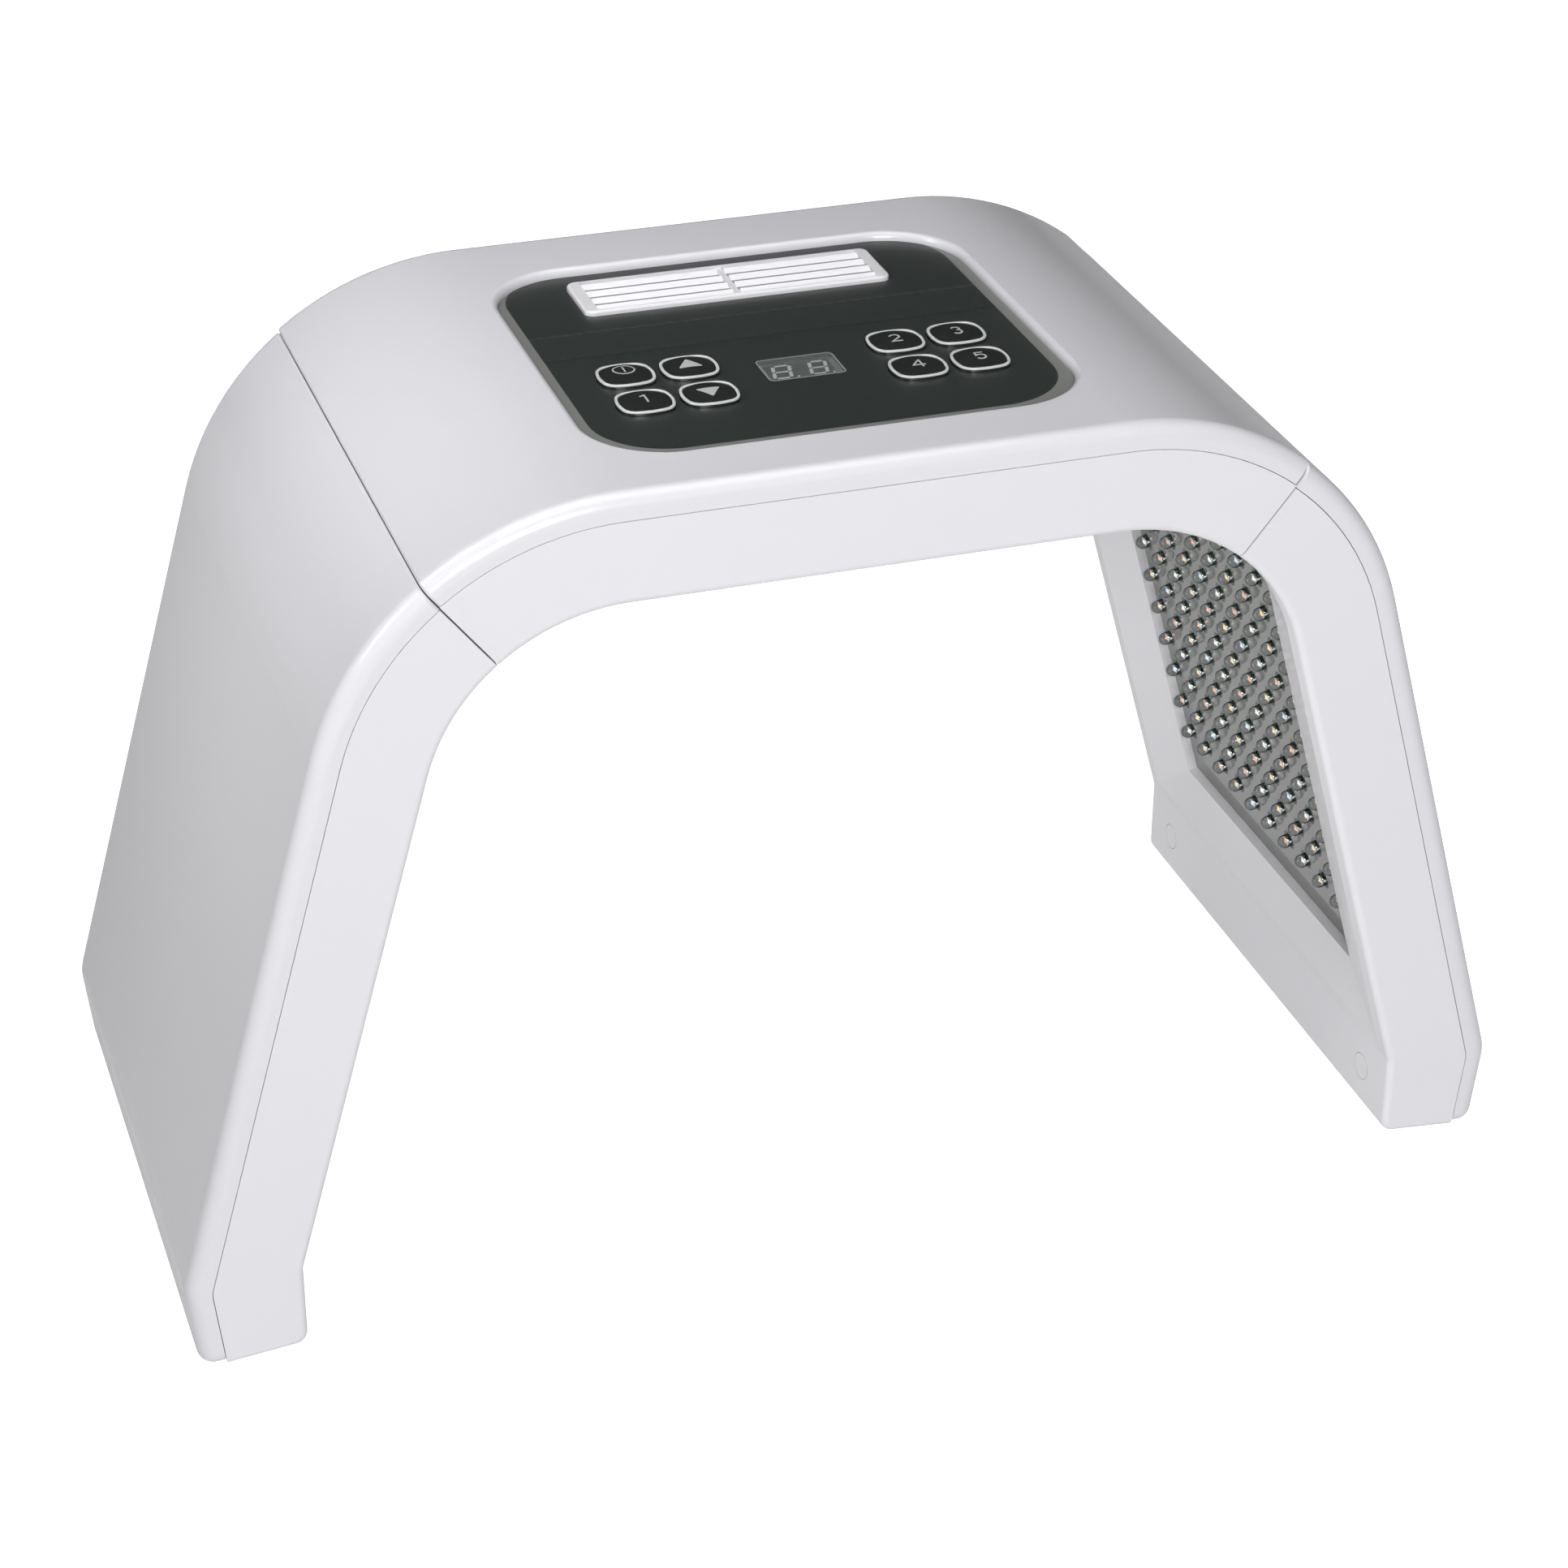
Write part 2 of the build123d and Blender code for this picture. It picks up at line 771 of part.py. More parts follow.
centre_lamps = placed_copies(lamp(), centre_lamp_places())


# Hinge screws go through the leaves into the seam strips of the trays
def screw_holes(shape, places):
    for point, direction in places:
        hole = bore(small_screw_diameter + 2 * screw_gap, small_screw_length + screw_gap)
        shape -= Plane(origin=point, z_dir=direction).location * hole
    return shape


wing_tray = screw_holes(wing_tray, leaf_screw_places(1))
right_centre_places = leaf_screw_places(-1)
left_centre_places = [
    (Vector(-point.X, point.Y, point.Z), Vector(-direction.X, 0, direction.Z))
    for point, direction in right_centre_places
]
centre_tray = screw_holes(centre_tray, right_centre_places + left_centre_places)
wing_hinge_screws = placed_copies(small_screw(), leaf_screw_places(1))
centre_hinge_screws = placed_copies(small_screw(), right_centre_places + left_centre_places)

# Recess for the control panel, with a rounded lip
recess_length = panel_length + 2 * fit_gap
recess_width = panel_width + 2 * fit_gap
recess_face = rectangle(recess_length, recess_width, panel_corner + fit_gap)
tub_face = rectangle(recess_length + 2 * wall, recess_width + 2 * wall, panel_corner + fit_gap + wall)
panel_place = Pos(panel_column, panel_row)
centre_cover += block(panel_place * tub_face, floor_under, top_z - wall + seat_gap)
lip_block = block(rectangle(recess_length + 2 * wall + 2 * lip_round, recess_width * 2), floor_top, top_z)
lip_block -= block(recess_face, floor_top, top_z)
lip_edges = [
    edge
    for edge in lip_block.edges().group_by(Axis.Z)[-1]
    if abs((edge @ 0.5).X) < recess_length / 2 + seat_gap and abs((edge @ 0.5).Y) < recess_width / 2 + seat_gap
]
lip_block = fillet(lip_edges, lip_round)
recess_cut = block(rectangle(recess_length + 2 * lip_round, recess_width + 2 * lip_round), floor_top, top_z) - lip_block
centre_cover -= panel_place * recess_cut
recess_mouth = rectangle(recess_length, recess_width, panel_corner)
centre_cover -= block(panel_place * recess_mouth, top_z - seat_gap, top_z + overrun)


# Key outline: a square with bowed sides and round corners, drawn in by an inset.
def key_face(inset_by):
    a = key_length / 2 - key_corner
    b = key_width / 2 - key_corner
    bow = key_bulge
    core = make_face([
        ThreePointArc((-a + bow, -b + bow), (0, -b), (a - bow, -b + bow)),
        ThreePointArc((a - bow, -b + bow), (a, 0), (a - bow, b - bow)),
        ThreePointArc((a - bow, b - bow), (0, b), (-a + bow, b - bow)),
        ThreePointArc((-a + bow, b - bow), (-a, 0), (-a + bow, -b + bow)),
    ])
    return offset(core, amount=key_corner - inset_by)


key_places = {
    "power": (key_columns_middle - key_columns_outer, key_row_rear),
    "up": (key_columns_middle - key_columns_inner, key_row_rear),
    "infrared": (key_columns_middle - key_columns_outer, key_row_front),
    "down": (key_columns_middle - key_columns_inner, key_row_front),
    "red": (key_columns_middle + key_columns_inner, key_row_rear),
    "green": (key_columns_middle + key_columns_outer, key_row_rear),
    "blue": (key_columns_middle + key_columns_inner, key_row_front),
    "colour": (key_columns_middle + key_columns_outer, key_row_front),
}
key_low = overlay_top - key_sink
key_shoulder = overlay_top + key_ring_rise - key_ring_height
key_edge = overlay_top + key_ring_rise - key_edge_drop
stem_low = floor_under - key_stem_reach


def key_cap(x, y):
    body = block(key_face(0), key_low, key_shoulder)
    crown = block(key_face(key_ring_width + seat_gap / 2), key_shoulder, key_edge + key_dome_rise)
    half_length = key_length / 2 - key_ring_width
    ball = (half_length ** 2 + key_dome_rise ** 2) / (2 * key_dome_rise)
    crown &= Pos(0, 0, key_edge + key_dome_rise - ball) * Sphere(ball)
    stem = Pos(0, 0, stem_low) * bore(key_stem_diameter, key_low - stem_low)
    return Pos(x, y) * (body + crown + stem)


def key_ring(x, y):
    ring = block(key_face(0) - key_face(key_ring_width), key_shoulder, overlay_top + key_ring_rise)
    top_edges = ring.edges().group_by(Axis.Z)[-1]
    return Pos(x, y) * fillet(top_edges, key_ring_width / 4)


# Overlay with its cut-outs
overlay = block(panel_place * rectangle(panel_length, panel_width, panel_corner), floor_top, overlay_top)
for x, y in key_places.values():
    overlay -= block(Pos(x, y) * key_face(-key_gap), floor_top - overrun, overlay_top + overrun)
    centre_cover -= Pos(x, y, floor_under - overrun) * bore(key_stem_diameter + 2 * key_gap, wall + 2 * overrun)
grille_hole = rectangle(grille_length + 2 * fit_gap, grille_width + 2 * fit_gap, grille_corner + fit_gap)
overlay -= block(Pos(0, grille_row) * grille_hole, floor_top - overrun, overlay_top + overrun)
display_hole = rectangle(display_length + 2 * seat_gap, display_width + 2 * seat_gap, display_corner + seat_gap)
overlay -= block(Pos(display_column, display_row) * display_hole, floor_top - overrun, overlay_top + overrun)

display_window = block(
    Pos(display_column, display_row) * rectangle(display_length, display_width, display_corner), floor_top, overlay_top
)
module_face = rectangle(display_module_length, display_module_width)
display_module = block(Pos(display_column, display_row) * module_face, board_top, board_top + display_module_height)
module_hole = rectangle(display_module_length + 2 * fit_gap, display_module_width + 2 * fit_gap)
centre_cover -= block(Pos(display_column, display_row) * module_hole, floor_under - overrun, floor_top + seat_gap)


# Grille: a raised frame with a middle bar and slanted bars across each half
grille_inner_length = grille_length - 2 * grille_border
grille_inner_width = grille_width - 2 * grille_side_border
grille_top = overlay_top + grille_proud


def vent_grille():
    opening = rectangle(grille_inner_length, grille_inner_width, grille_corner / 2)
    frame = block(rectangle(grille_length, grille_width, grille_corner), floor_top, grille_top)
    frame = fillet(frame.edges().group_by(Axis.Z)[-1], grille_edge_round)
    frame -= block(opening, floor_top - overrun, grille_top + overrun)
    bar_pitch = grille_inner_width / grille_bars
    bar_z = (floor_top + grille_top) / 2
    for i in range(grille_bars):
        y = -grille_inner_width / 2 + (i + 0.5) * bar_pitch
        bar = Box(grille_inner_length, grille_bar_width, grille_bar_thickness)
        frame += Pos(0, y, bar_z) * Rot(grille_bar_tilt, 0, 0) * bar & block(opening, floor_top, grille_top)
    mullion = Rectangle(grille_mullion, grille_inner_width)
    mullion_top = grille_top - grille_edge_round
    frame -= block(mullion, mullion_top, grille_top + overrun)
    frame += block(mullion, floor_top, mullion_top)
    return Pos(0, grille_row) * frame


grille = vent_grille()
vent_hole = rectangle(grille_inner_length, grille_inner_width, grille_corner / 2)
centre_cover -= block(Pos(0, grille_row) * vent_hole, floor_under - overrun, floor_top + seat_gap)


# Fan
fan_top = floor_under - seat_gap
fan_low = fan_top - fan_thickness
fan_corners = [(sx * fan_screw_pitch / 2, sy * fan_screw_pitch / 2) for sx in (-1, 1) for sy in (-1, 1)]


def fan_frame():
    frame = block(rectangle(fan_size, fan_size, fan_corner), fan_low, fan_top)
    frame -= Pos(0, 0, fan_low - overrun) * bore(fan_bore_diameter, fan_thickness + 2 * overrun)
    hub = Pos(0, 0, fan_low) * bore(fan_hub_diameter, fan_base)
    for i in range(3):
        strut = Pos(fan_bore_diameter / 4, 0, fan_low + fan_base / 2) * Box(
            fan_bore_diameter / 2 + fan_corner / 2, fan_strut_width, fan_base
        )
        hub += Rot(0, 0, 90 + i * 120) * strut
    bearing = Pos(0, 0, fan_low) * bore(fan_shaft_diameter * 3, fan_thickness / 2)
    frame += hub + bearing
    frame -= Pos(0, 0, fan_low + fan_base / 2) * bore(fan_shaft_diameter + 2 * fan_shaft_gap, fan_thickness)
    for x, y in fan_corners:
        frame -= Pos(x, y, fan_low - overrun) * bore(screw_diameter + 2 * fit_gap, fan_thickness + 2 * overrun)
    return Pos(0, grille_row) * frame


def fan_rotor():
    rotor_low = fan_low + fan_base + 3 * fit_gap
    cup = Pos(0, 0, rotor_low) * bore(fan_hub_diameter, fan_hub_height)
    cup -= Pos(0, 0, rotor_low - seat_gap) * bore(fan_hub_diameter - wall, fan_thickness / 2 - fan_base + seat_gap)
    shaft_low = fan_low + fan_base
    cup += Pos(0, 0, shaft_low) * bore(fan_shaft_diameter, rotor_low + fan_hub_height - shaft_low)
    blades = []
    tip = fan_bore_diameter / 2 - fan_tip_gap
    for i in range(fan_blades):
        length = tip - fan_hub_diameter / 2 + fan_blade_thickness
        blade = Box(length, fan_blade_thickness, fan_size)
        middle = fan_hub_diameter / 2 + length / 2 - fan_blade_thickness
        blades.append(Rot(0, 0, i * 360 / fan_blades) * Pos(middle, 0, 0) * Rot(fan_blade_pitch, 0, 0) * blade)
    ring = bore(2 * tip, fan_hub_height - seat_gap) - bore(fan_hub_diameter - fan_blade_thickness, fan_hub_height)
    sweep_space = Pos(0, 0, rotor_low) * ring
    for blade in blades:
        cup += (Pos(0, 0, rotor_low + fan_hub_height / 2) * blade) & sweep_space
    return Pos(0, grille_row) * cup


fan_housing = fan_frame()
fan_impeller = fan_rotor()
fan_screws = []
for x, y in fan_corners:
    centre_cover -= Pos(x, y + grille_row, floor_under) * bore(screw_diameter + 2 * screw_gap, wall - 2 * seat_gap)
    fan_screws.append(
        Pos(x, y + grille_row, fan_low)
        * screw(screw_diameter, screw_head_diameter, screw_head_height, fan_thickness + wall - 4 * seat_gap)
    )


# Boards hang from posts under the panel floor
def board_corners(length, width):
    return [
        (sx * (length / 2 - post_inset), sy * (width / 2 - post_inset)) for sx in (-1, 1) for sy in (-1, 1)
    ]


def board(x, y, length, width):
    plate = block(Pos(x, y) * rectangle(length, width, overrun), board_low, board_top)
    for dx, dy in board_corners(length, width):
        plate -= Pos(x + dx, y + dy, board_low - overrun) * bore(small_screw_diameter + 2 * screw_gap, wall + overrun)
    return plate


def board_posts(x, y, length, width):
    posts = []
    for dx, dy in board_corners(length, width):
        posts.append(Pos(x + dx, y + dy, board_top) * bore(post_diameter, floor_under - board_top + seat_gap))
    return posts


board_screws = []
boards = [
    (0, control_board_row, control_board_length, control_board_width),
    (driver_board_column, driver_board_row, driver_board_length, driver_board_width),
]
for x, y, length, width in boards:
    centre_cover += board_posts(x, y, length, width)
    for dx, dy in board_corners(length, width):
        centre_cover -= Pos(x + dx, y + dy, board_top - seat_gap) * bore(
            small_screw_diameter + 2 * screw_gap, small_screw_length
        )
        board_screws.append(Pos(x + dx, y + dy, board_low) * small_screw())

control_board = board(*boards[0])
key_switches = []
for x, y in key_places.values():
    body = Pos(x, y) * block(rectangle(switch_body, switch_body), board_top, board_top + switch_body_height)
    button = Pos(x, y, board_top) * bore(switch_button_diameter, switch_height)
    key_switches.append(body + button)

driver_board = board(*boards[1])
transformer = Pos(driver_board_column, driver_board_row) * block(
    rectangle(driver_part_length, driver_part_width, overrun / 2), board_low - driver_part_height, board_low + seat_gap
)
driver_board += transformer
for step in (-driver_part_length, driver_part_length):
    can = Pos(driver_board_column, driver_board_row + step, board_low - driver_part_height) * bore(
        driver_can_diameter, driver_part_height + seat_gap
    )
    driver_board += can

# Screws from the tray up into long bosses of the cover
centre_screw_places = [
    (sx * centre_screw_column, sy * (depth / 2 - centre_screw_from_face)) for sx in (-1, 1) for sy in (-1, 1)
]
centre_sleeve_top = inner["top"] + plate_front_depth
centre_screws = []


# Height that a boss at (x, y) reaches: the panel floor where it is overhead, or else the skin.
def roof(x, y):
    under_panel_x = abs(x - panel_column) < recess_length / 2 + wall + boss_diameter / 2
    under_panel_y = abs(y - panel_row) < recess_width / 2 + wall + boss_diameter / 2
    if under_panel_x and under_panel_y:
        return floor_under
    return top_z - wall


for x, y in centre_screw_places:
    low = inner["top"] - overrun
    sleeve = Pos(x, y, inner["top"] + bezel_depth) * bore(boss_diameter + wall, centre_sleeve_top - inner["top"] - bezel_depth)
    head_seat = inner["top"] + bezel_depth
    centre_tray += sleeve
    centre_tray -= Pos(x, y, low) * bore(screw_head_diameter + 2 * fit_gap, head_seat - low)
    centre_tray -= Pos(x, y, low) * bore(screw_diameter + 2 * fit_gap, centre_sleeve_top)
    boss = Pos(x, y, centre_sleeve_top) * bore(boss_diameter, roof(x, y) + seat_gap - centre_sleeve_top)
    centre_cover += boss
    centre_cover -= Pos(x, y, centre_sleeve_top - seat_gap) * bore(
        screw_diameter + 2 * screw_gap, roof(x, y) - wall - centre_sleeve_top
    )
    centre_screws.append(
        Pos(x, y, head_seat)
        * screw(screw_diameter, screw_head_diameter, screw_head_height, (roof(x, y) - head_seat) / 2)
    )

# Power jack through the rear wall of the centre tray
rear = Plane(origin=jack_point, z_dir=(0, -1, 0)).location
centre_tray -= rear * Pos(0, 0, -overrun) * bore(jack_nose_diameter + 2 * fit_gap, wall + 2 * overrun)
power_jack = rear * bore(jack_nose_diameter, wall + fit_gap + overrun / 2)
power_jack += rear * Pos(0, 0, wall + fit_gap) * Box(
    jack_body_width, jack_body_height, jack_body_length, align=(Align.CENTER, Align.CENTER, Align.MIN)
)
power_jack -= rear * Pos(0, 0, -seat_gap) * bore(jack_bore_diameter, jack_bore_depth)
power_jack += rear * Pos(0, 0, seat_gap) * bore(jack_pin_diameter, jack_bore_depth)

# Lead from the jack to the driver board, held in the centre all the way
lead_start = Vector(jack_column, depth / 2 - wall - fit_gap - jack_body_length, jack_z)
lead_end = Vector(jack_column, driver_board_row + driver_board_width / 2, (board_low + board_top) / 2)
lead_path = Spline(lead_start, lead_end, tangents=[(0, -1, 0), (0, -1, 0)])
lead_profile = Plane(origin=lead_path @ 0, z_dir=lead_path % 0) * Circle(lead_diameter / 2)
jack_lead = sweep(lead_profile, path=lead_path)

# Hinges
wing_leaves = [hinge_leaf(1, -hinge_row), hinge_leaf(1, hinge_row)]
centre_leaves = [hinge_leaf(-1, -hinge_row), hinge_leaf(-1, hinge_row)]
pins = [hinge_pin(-hinge_row), hinge_pin(hinge_row)]

# Every node by name
nodes = {
    "centre_cover": tidy_solid(centre_cover),
    "centre_tray": tidy_solid(centre_tray),
    "centre_lamp_plate": centre_plate,
    "centre_lamp_board": centre_board,
    "centre_lamps": group(centre_lamps),
    "control_overlay": overlay,
    "display_window": display_window,
    "display_module": display_module,
    "control_board": control_board,
    "key_switches": group(key_switches),
    "vent_grille": grille,
    "fan_housing": fan_housing,
    "fan_impeller": fan_impeller,
    "fan_screws": group(fan_screws),
    "driver_board": driver_board,
    "board_screws": group(board_screws),
    "power_jack": power_jack,
    "jack_lead": jack_lead,
    "centre_screws": group(centre_screws),
    "centre_hinge_leaves": group(centre_leaves + [mirrored(leaf) for leaf in centre_leaves]),
    "centre_hinge_screws": group(centre_hinge_screws),
    "hinge_pins": group(pins + [mirrored(pin) for pin in pins]),
}
right_wing = {
    "cover": [tidy_solid(wing_cover)],
    "tray": [tidy_solid(wing_tray)],
    "lamp_plate": [wing_plate],
    "lamp_board": [wing_board],
    "lamps": wing_lamps,
    "hinge_leaves": wing_leaves,
    "hinge_screws": wing_hinge_screws,
    "foot_screws": wing_screws,
    "screw_plugs": wing_plugs,
    "foot_pads": wing_pads,
}
for name, shapes in right_wing.items():
    nodes["right_wing_" + name] = group(shapes)
    nodes["left_wing_" + name] = group([mirrored(shape) for shape in shapes])
for name, (x, y) in key_places.items():
    nodes[name + "_key"] = key_cap(x, y)
    nodes[name + "_key_ring"] = key_ring(x, y)

for name, shape in nodes.items():
    export_step(shape, "parts/" + name + ".step")
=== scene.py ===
# %% [markdown]
# # A folding light therapy arch
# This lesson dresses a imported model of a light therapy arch: a white shell in three hinged sections,
# a dark key panel with a vent and a display on top, and rows of clear lamps on the inside.
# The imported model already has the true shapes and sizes, so it is loaded first and never moved.
# Everything that is made here sits on it, in metres, and moves with one of its bodies.

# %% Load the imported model
import math
import bmesh
import bpy
from mathutils import Matrix, Vector


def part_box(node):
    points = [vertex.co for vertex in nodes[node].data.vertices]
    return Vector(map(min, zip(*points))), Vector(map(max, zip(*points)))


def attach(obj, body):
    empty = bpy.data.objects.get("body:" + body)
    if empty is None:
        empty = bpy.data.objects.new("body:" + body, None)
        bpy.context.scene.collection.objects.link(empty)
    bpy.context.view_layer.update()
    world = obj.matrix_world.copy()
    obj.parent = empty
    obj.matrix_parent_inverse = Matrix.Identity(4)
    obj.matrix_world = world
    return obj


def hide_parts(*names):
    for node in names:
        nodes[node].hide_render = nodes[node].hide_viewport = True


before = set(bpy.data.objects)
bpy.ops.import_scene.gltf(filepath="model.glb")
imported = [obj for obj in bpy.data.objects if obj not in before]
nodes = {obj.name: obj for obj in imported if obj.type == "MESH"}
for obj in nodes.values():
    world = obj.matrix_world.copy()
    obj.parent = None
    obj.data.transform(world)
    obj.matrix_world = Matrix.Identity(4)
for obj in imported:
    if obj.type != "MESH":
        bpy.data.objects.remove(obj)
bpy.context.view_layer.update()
scene = bpy.context.scene
millimetre = 0.001

# %% [markdown]
# ## Camera
# The camera was solved from the photograph: the straight edges of the arch and the square panel fix
# where it stood. It is about 1.4 m away with a long lens, so the arch hardly narrows with distance.

# %% Camera
azimuth, elevation, roll = -0.32408, 0.51779, 0.0062
camera_place = (-0.37321, -1.12347, 0.80079)
sensor_width, focal_length = 36.0, 87.083
nearest_seen, farthest_seen = 0.05, 20.0
back = Vector((
    math.sin(azimuth) * math.cos(elevation),
    -math.cos(azimuth) * math.cos(elevation),
    math.sin(elevation),
))
level_right = (-back).cross(Vector((0, 0, 1))).normalized()
level_up = level_right.cross(-back)
right = level_right * math.cos(roll) + level_up * math.sin(roll)
up = level_up * math.cos(roll) - level_right * math.sin(roll)
camera = bpy.data.objects.new("camera", bpy.data.cameras.new("camera"))
scene.collection.objects.link(camera)
camera.data.sensor_width = sensor_width
camera.data.lens = focal_length
camera.data.clip_start, camera.data.clip_end = nearest_seen, farthest_seen
camera.matrix_world = Matrix.Translation(camera_place) @ Matrix((right, up, back)).transposed().to_4x4()
scene.camera = camera
print("camera stands at", tuple(round(v, 3) for v in camera.location))

# %% [markdown]
# ## Light
# A soft white studio lights the arch. The front faces are the brightest, the left shoulder comes next
# and the left wing falls off towards the floor. A wide panel in front and one overhead do most of it.
# Two panels with a narrow spread, as a softbox with a grid has, add the glow on the left shoulder, and
# a small one inside the arch lights the lamps. Each one's power was fitted to the photograph's tones.


# %% Studio
def light_panel(name, place, target, size, watts, spread=180.0):
    data = bpy.data.lights.new(name, "AREA")
    data.shape = "RECTANGLE"
    data.size, data.size_y = size
    data.energy = watts
    data.spread = math.radians(spread)
    lamp = bpy.data.objects.new(name, data)
    scene.collection.objects.link(lamp)
    lamp.location = place
    lamp.rotation_euler = (Vector(target) - Vector(place)).to_track_quat("-Z", "Y").to_euler()
    lamp.visible_camera = False
    return lamp


arch_middle = (0.0, 0.0, 0.15)
shoulder, upper_wing, right_lamps = (-0.15, 0.0, 0.3), (-0.16, 0.0, 0.29), (0.19, 0.03, 0.12)
light_panel("front panel light", (-0.35, -1.9, 1.25), arch_middle, size=(0.8, 0.6), watts=40.0)
light_panel("top panel light", (0.0, 0.0, 2.3), arch_middle, size=(1.6, 1.6), watts=17.5)
light_panel("shoulder light", (-0.7, 0.15, 1.1), shoulder, size=(0.3, 0.3), watts=0.15, spread=30)
light_panel("upper wing light", (-1.0, -0.1, 0.75), upper_wing, size=(0.3, 0.3), watts=0.085, spread=22)
light_panel("inside light", (-0.10, -0.02, 0.16), right_lamps, size=(0.16, 0.16), watts=0.3)
room_tint, room_strength = (0.97, 0.98, 1.0, 1), 0.03
world = bpy.data.worlds.new("studio")
scene.world = world
world.use_nodes = True
world.node_tree.nodes["Background"].inputs["Color"].default_value = room_tint
world.node_tree.nodes["Background"].inputs["Strength"].default_value = room_strength
scene.view_settings.view_transform = "Standard"

# %% [markdown]
# ## Floor
# The photograph has no visible ground, only white. A plain pale floor keeps that look and still gives
# the feet something to stand on.


# %% Floor
def plain_floor(reach):
    mesh = bpy.data.meshes.new("floor")
    corners = [(-reach, -reach, 0), (reach, -reach, 0), (reach, reach, 0), (-reach, reach, 0)]
    mesh.from_pydata(corners, [], [range(len(corners))])
    floor = bpy.data.objects.new("floor", mesh)
    scene.collection.objects.link(floor)
    return floor


floor = plain_floor(reach=6.0)

# %% [markdown]
# ## Materials
# Every finish is a Principled shader in a material of its own. What several of them share is a node
# group: a faint unevenness that moulded plastic has, in its height, its gloss and its tone.


# %% Node helpers
def new_material(name):
    material = bpy.data.materials.new(name)
    material.use_nodes = True
    tree = material.node_tree
    return material, tree, tree.nodes["Principled BSDF"]


def add(tree, kind, **settings):
    node = tree.nodes.new(kind)
    for key, value in settings.items():
        if key in node.inputs:
            node.inputs[key].default_value = value
        else:
            setattr(node, key, value)
    return node


def feed(tree, socket, value):
    if isinstance(value, bpy.types.NodeSocket):
        tree.links.new(value, socket)
    else:
        socket.default_value = value


def math_node(tree, operation, first, second=None, clamp=False):
    node = add(tree, "ShaderNodeMath", operation=operation, use_clamp=clamp)
    feed(tree, node.inputs[0], first)
    if second is not None:
        feed(tree, node.inputs[1], second)
    return node.outputs[0]


def mix_colour(tree, factor, first, second):
    node = add(tree, "ShaderNodeMix", data_type="RGBA")
    feed(tree, node.inputs["Factor"], factor)
    feed(tree, node.inputs["A"], first)
    feed(tree, node.inputs["B"], second)
    return node.outputs["Result"]


def raise_surface(tree, shader, height, strength, distance):
    lift = add(tree, "ShaderNodeBump", Strength=strength, Distance=distance)
    tree.links.new(height, lift.inputs["Height"])
    tree.links.new(lift.outputs["Normal"], shader.inputs["Normal"])


# %% [markdown]
# The shared group takes the size of the unevenness in metres and its strength. It puts out a height
# for a Bump node, a value around one for the roughness and a value around one for the tone.

# %% Moulded surface group
usual_grain, usual_mottle = 0.004, 0.1
fine_detail, broad_scale, gloss_swing, tone_swing = 3.0, 9.0, 3.0, 0.4


def moulded_surface_group():
    group = bpy.data.node_groups.new("moulded surface", "ShaderNodeTree")
    face = group.interface
    for name, usual in (("Grain Size", usual_grain), ("Mottle", usual_mottle)):
        face.new_socket(name, in_out="INPUT", socket_type="NodeSocketFloat").default_value = usual
    for name in ("Height", "Gloss Factor", "Tone Factor"):
        face.new_socket(name, in_out="OUTPUT", socket_type="NodeSocketFloat")
    entry = group.nodes.new("NodeGroupInput")
    leave = group.nodes.new("NodeGroupOutput")
    place = group.nodes.new("ShaderNodeTexCoord")
    fine = add(group, "ShaderNodeTexNoise", Detail=fine_detail)
    broad = add(group, "ShaderNodeTexNoise", Scale=broad_scale)
    scale = math_node(group, "DIVIDE", 1.0, entry.outputs["Grain Size"])
    group.links.new(scale, fine.inputs["Scale"])
    group.links.new(fine.outputs["Fac"], leave.inputs["Height"])
    for noise in (fine, broad):
        group.links.new(place.outputs["Object"], noise.inputs["Vector"])
    spread = math_node(group, "SUBTRACT", broad.outputs["Fac"], 0.5)
    spread = math_node(group, "MULTIPLY", spread, entry.outputs["Mottle"])
    for name, swing in (("Gloss Factor", gloss_swing), ("Tone Factor", tone_swing)):
        swung = math_node(group, "MULTIPLY", spread, swing)
        group.links.new(math_node(group, "ADD", swung, 1.0), leave.inputs[name])
    return group


moulded_surface = moulded_surface_group()
outputs = [item.name for item in moulded_surface.interface.items_tree if item.in_out == "OUTPUT"]
print("group outputs:", outputs)


# %% Moulded finishes
def add_surface(tree, grain, mottle=usual_mottle):
    surface = add(tree, "ShaderNodeGroup", node_tree=moulded_surface)
    surface.inputs["Grain Size"].default_value = grain
    surface.inputs["Mottle"].default_value = mottle
    return surface


def set_roughness(tree, shader, surface, roughness):
    uneven = math_node(tree, "MULTIPLY", surface.outputs["Gloss Factor"], roughness, clamp=True)
    tree.links.new(uneven, shader.inputs["Roughness"])


def set_colour(tree, shader, surface, colour):
    tone = add(tree, "ShaderNodeHueSaturation", Color=(*colour, 1))
    tree.links.new(surface.outputs["Tone Factor"], tone.inputs["Value"])
    tree.links.new(tone.outputs["Color"], shader.inputs["Base Color"])


moulding_rise, coat_roughness = 0.0004, 0.06


def moulded(name, colour, rough, grain=usual_grain, mottle=usual_mottle, bump=0.05, coat=0.0):
    material, tree, shader = new_material(name)
    surface = add_surface(tree, grain, mottle)
    set_roughness(tree, shader, surface, rough)
    set_colour(tree, shader, surface, colour)
    raise_surface(tree, shader, surface.outputs["Height"], bump, moulding_rise)
    shader.inputs["Coat Weight"].default_value = coat
    shader.inputs["Coat Roughness"].default_value = coat_roughness
    material.diffuse_color = (*colour, 1)
    return material


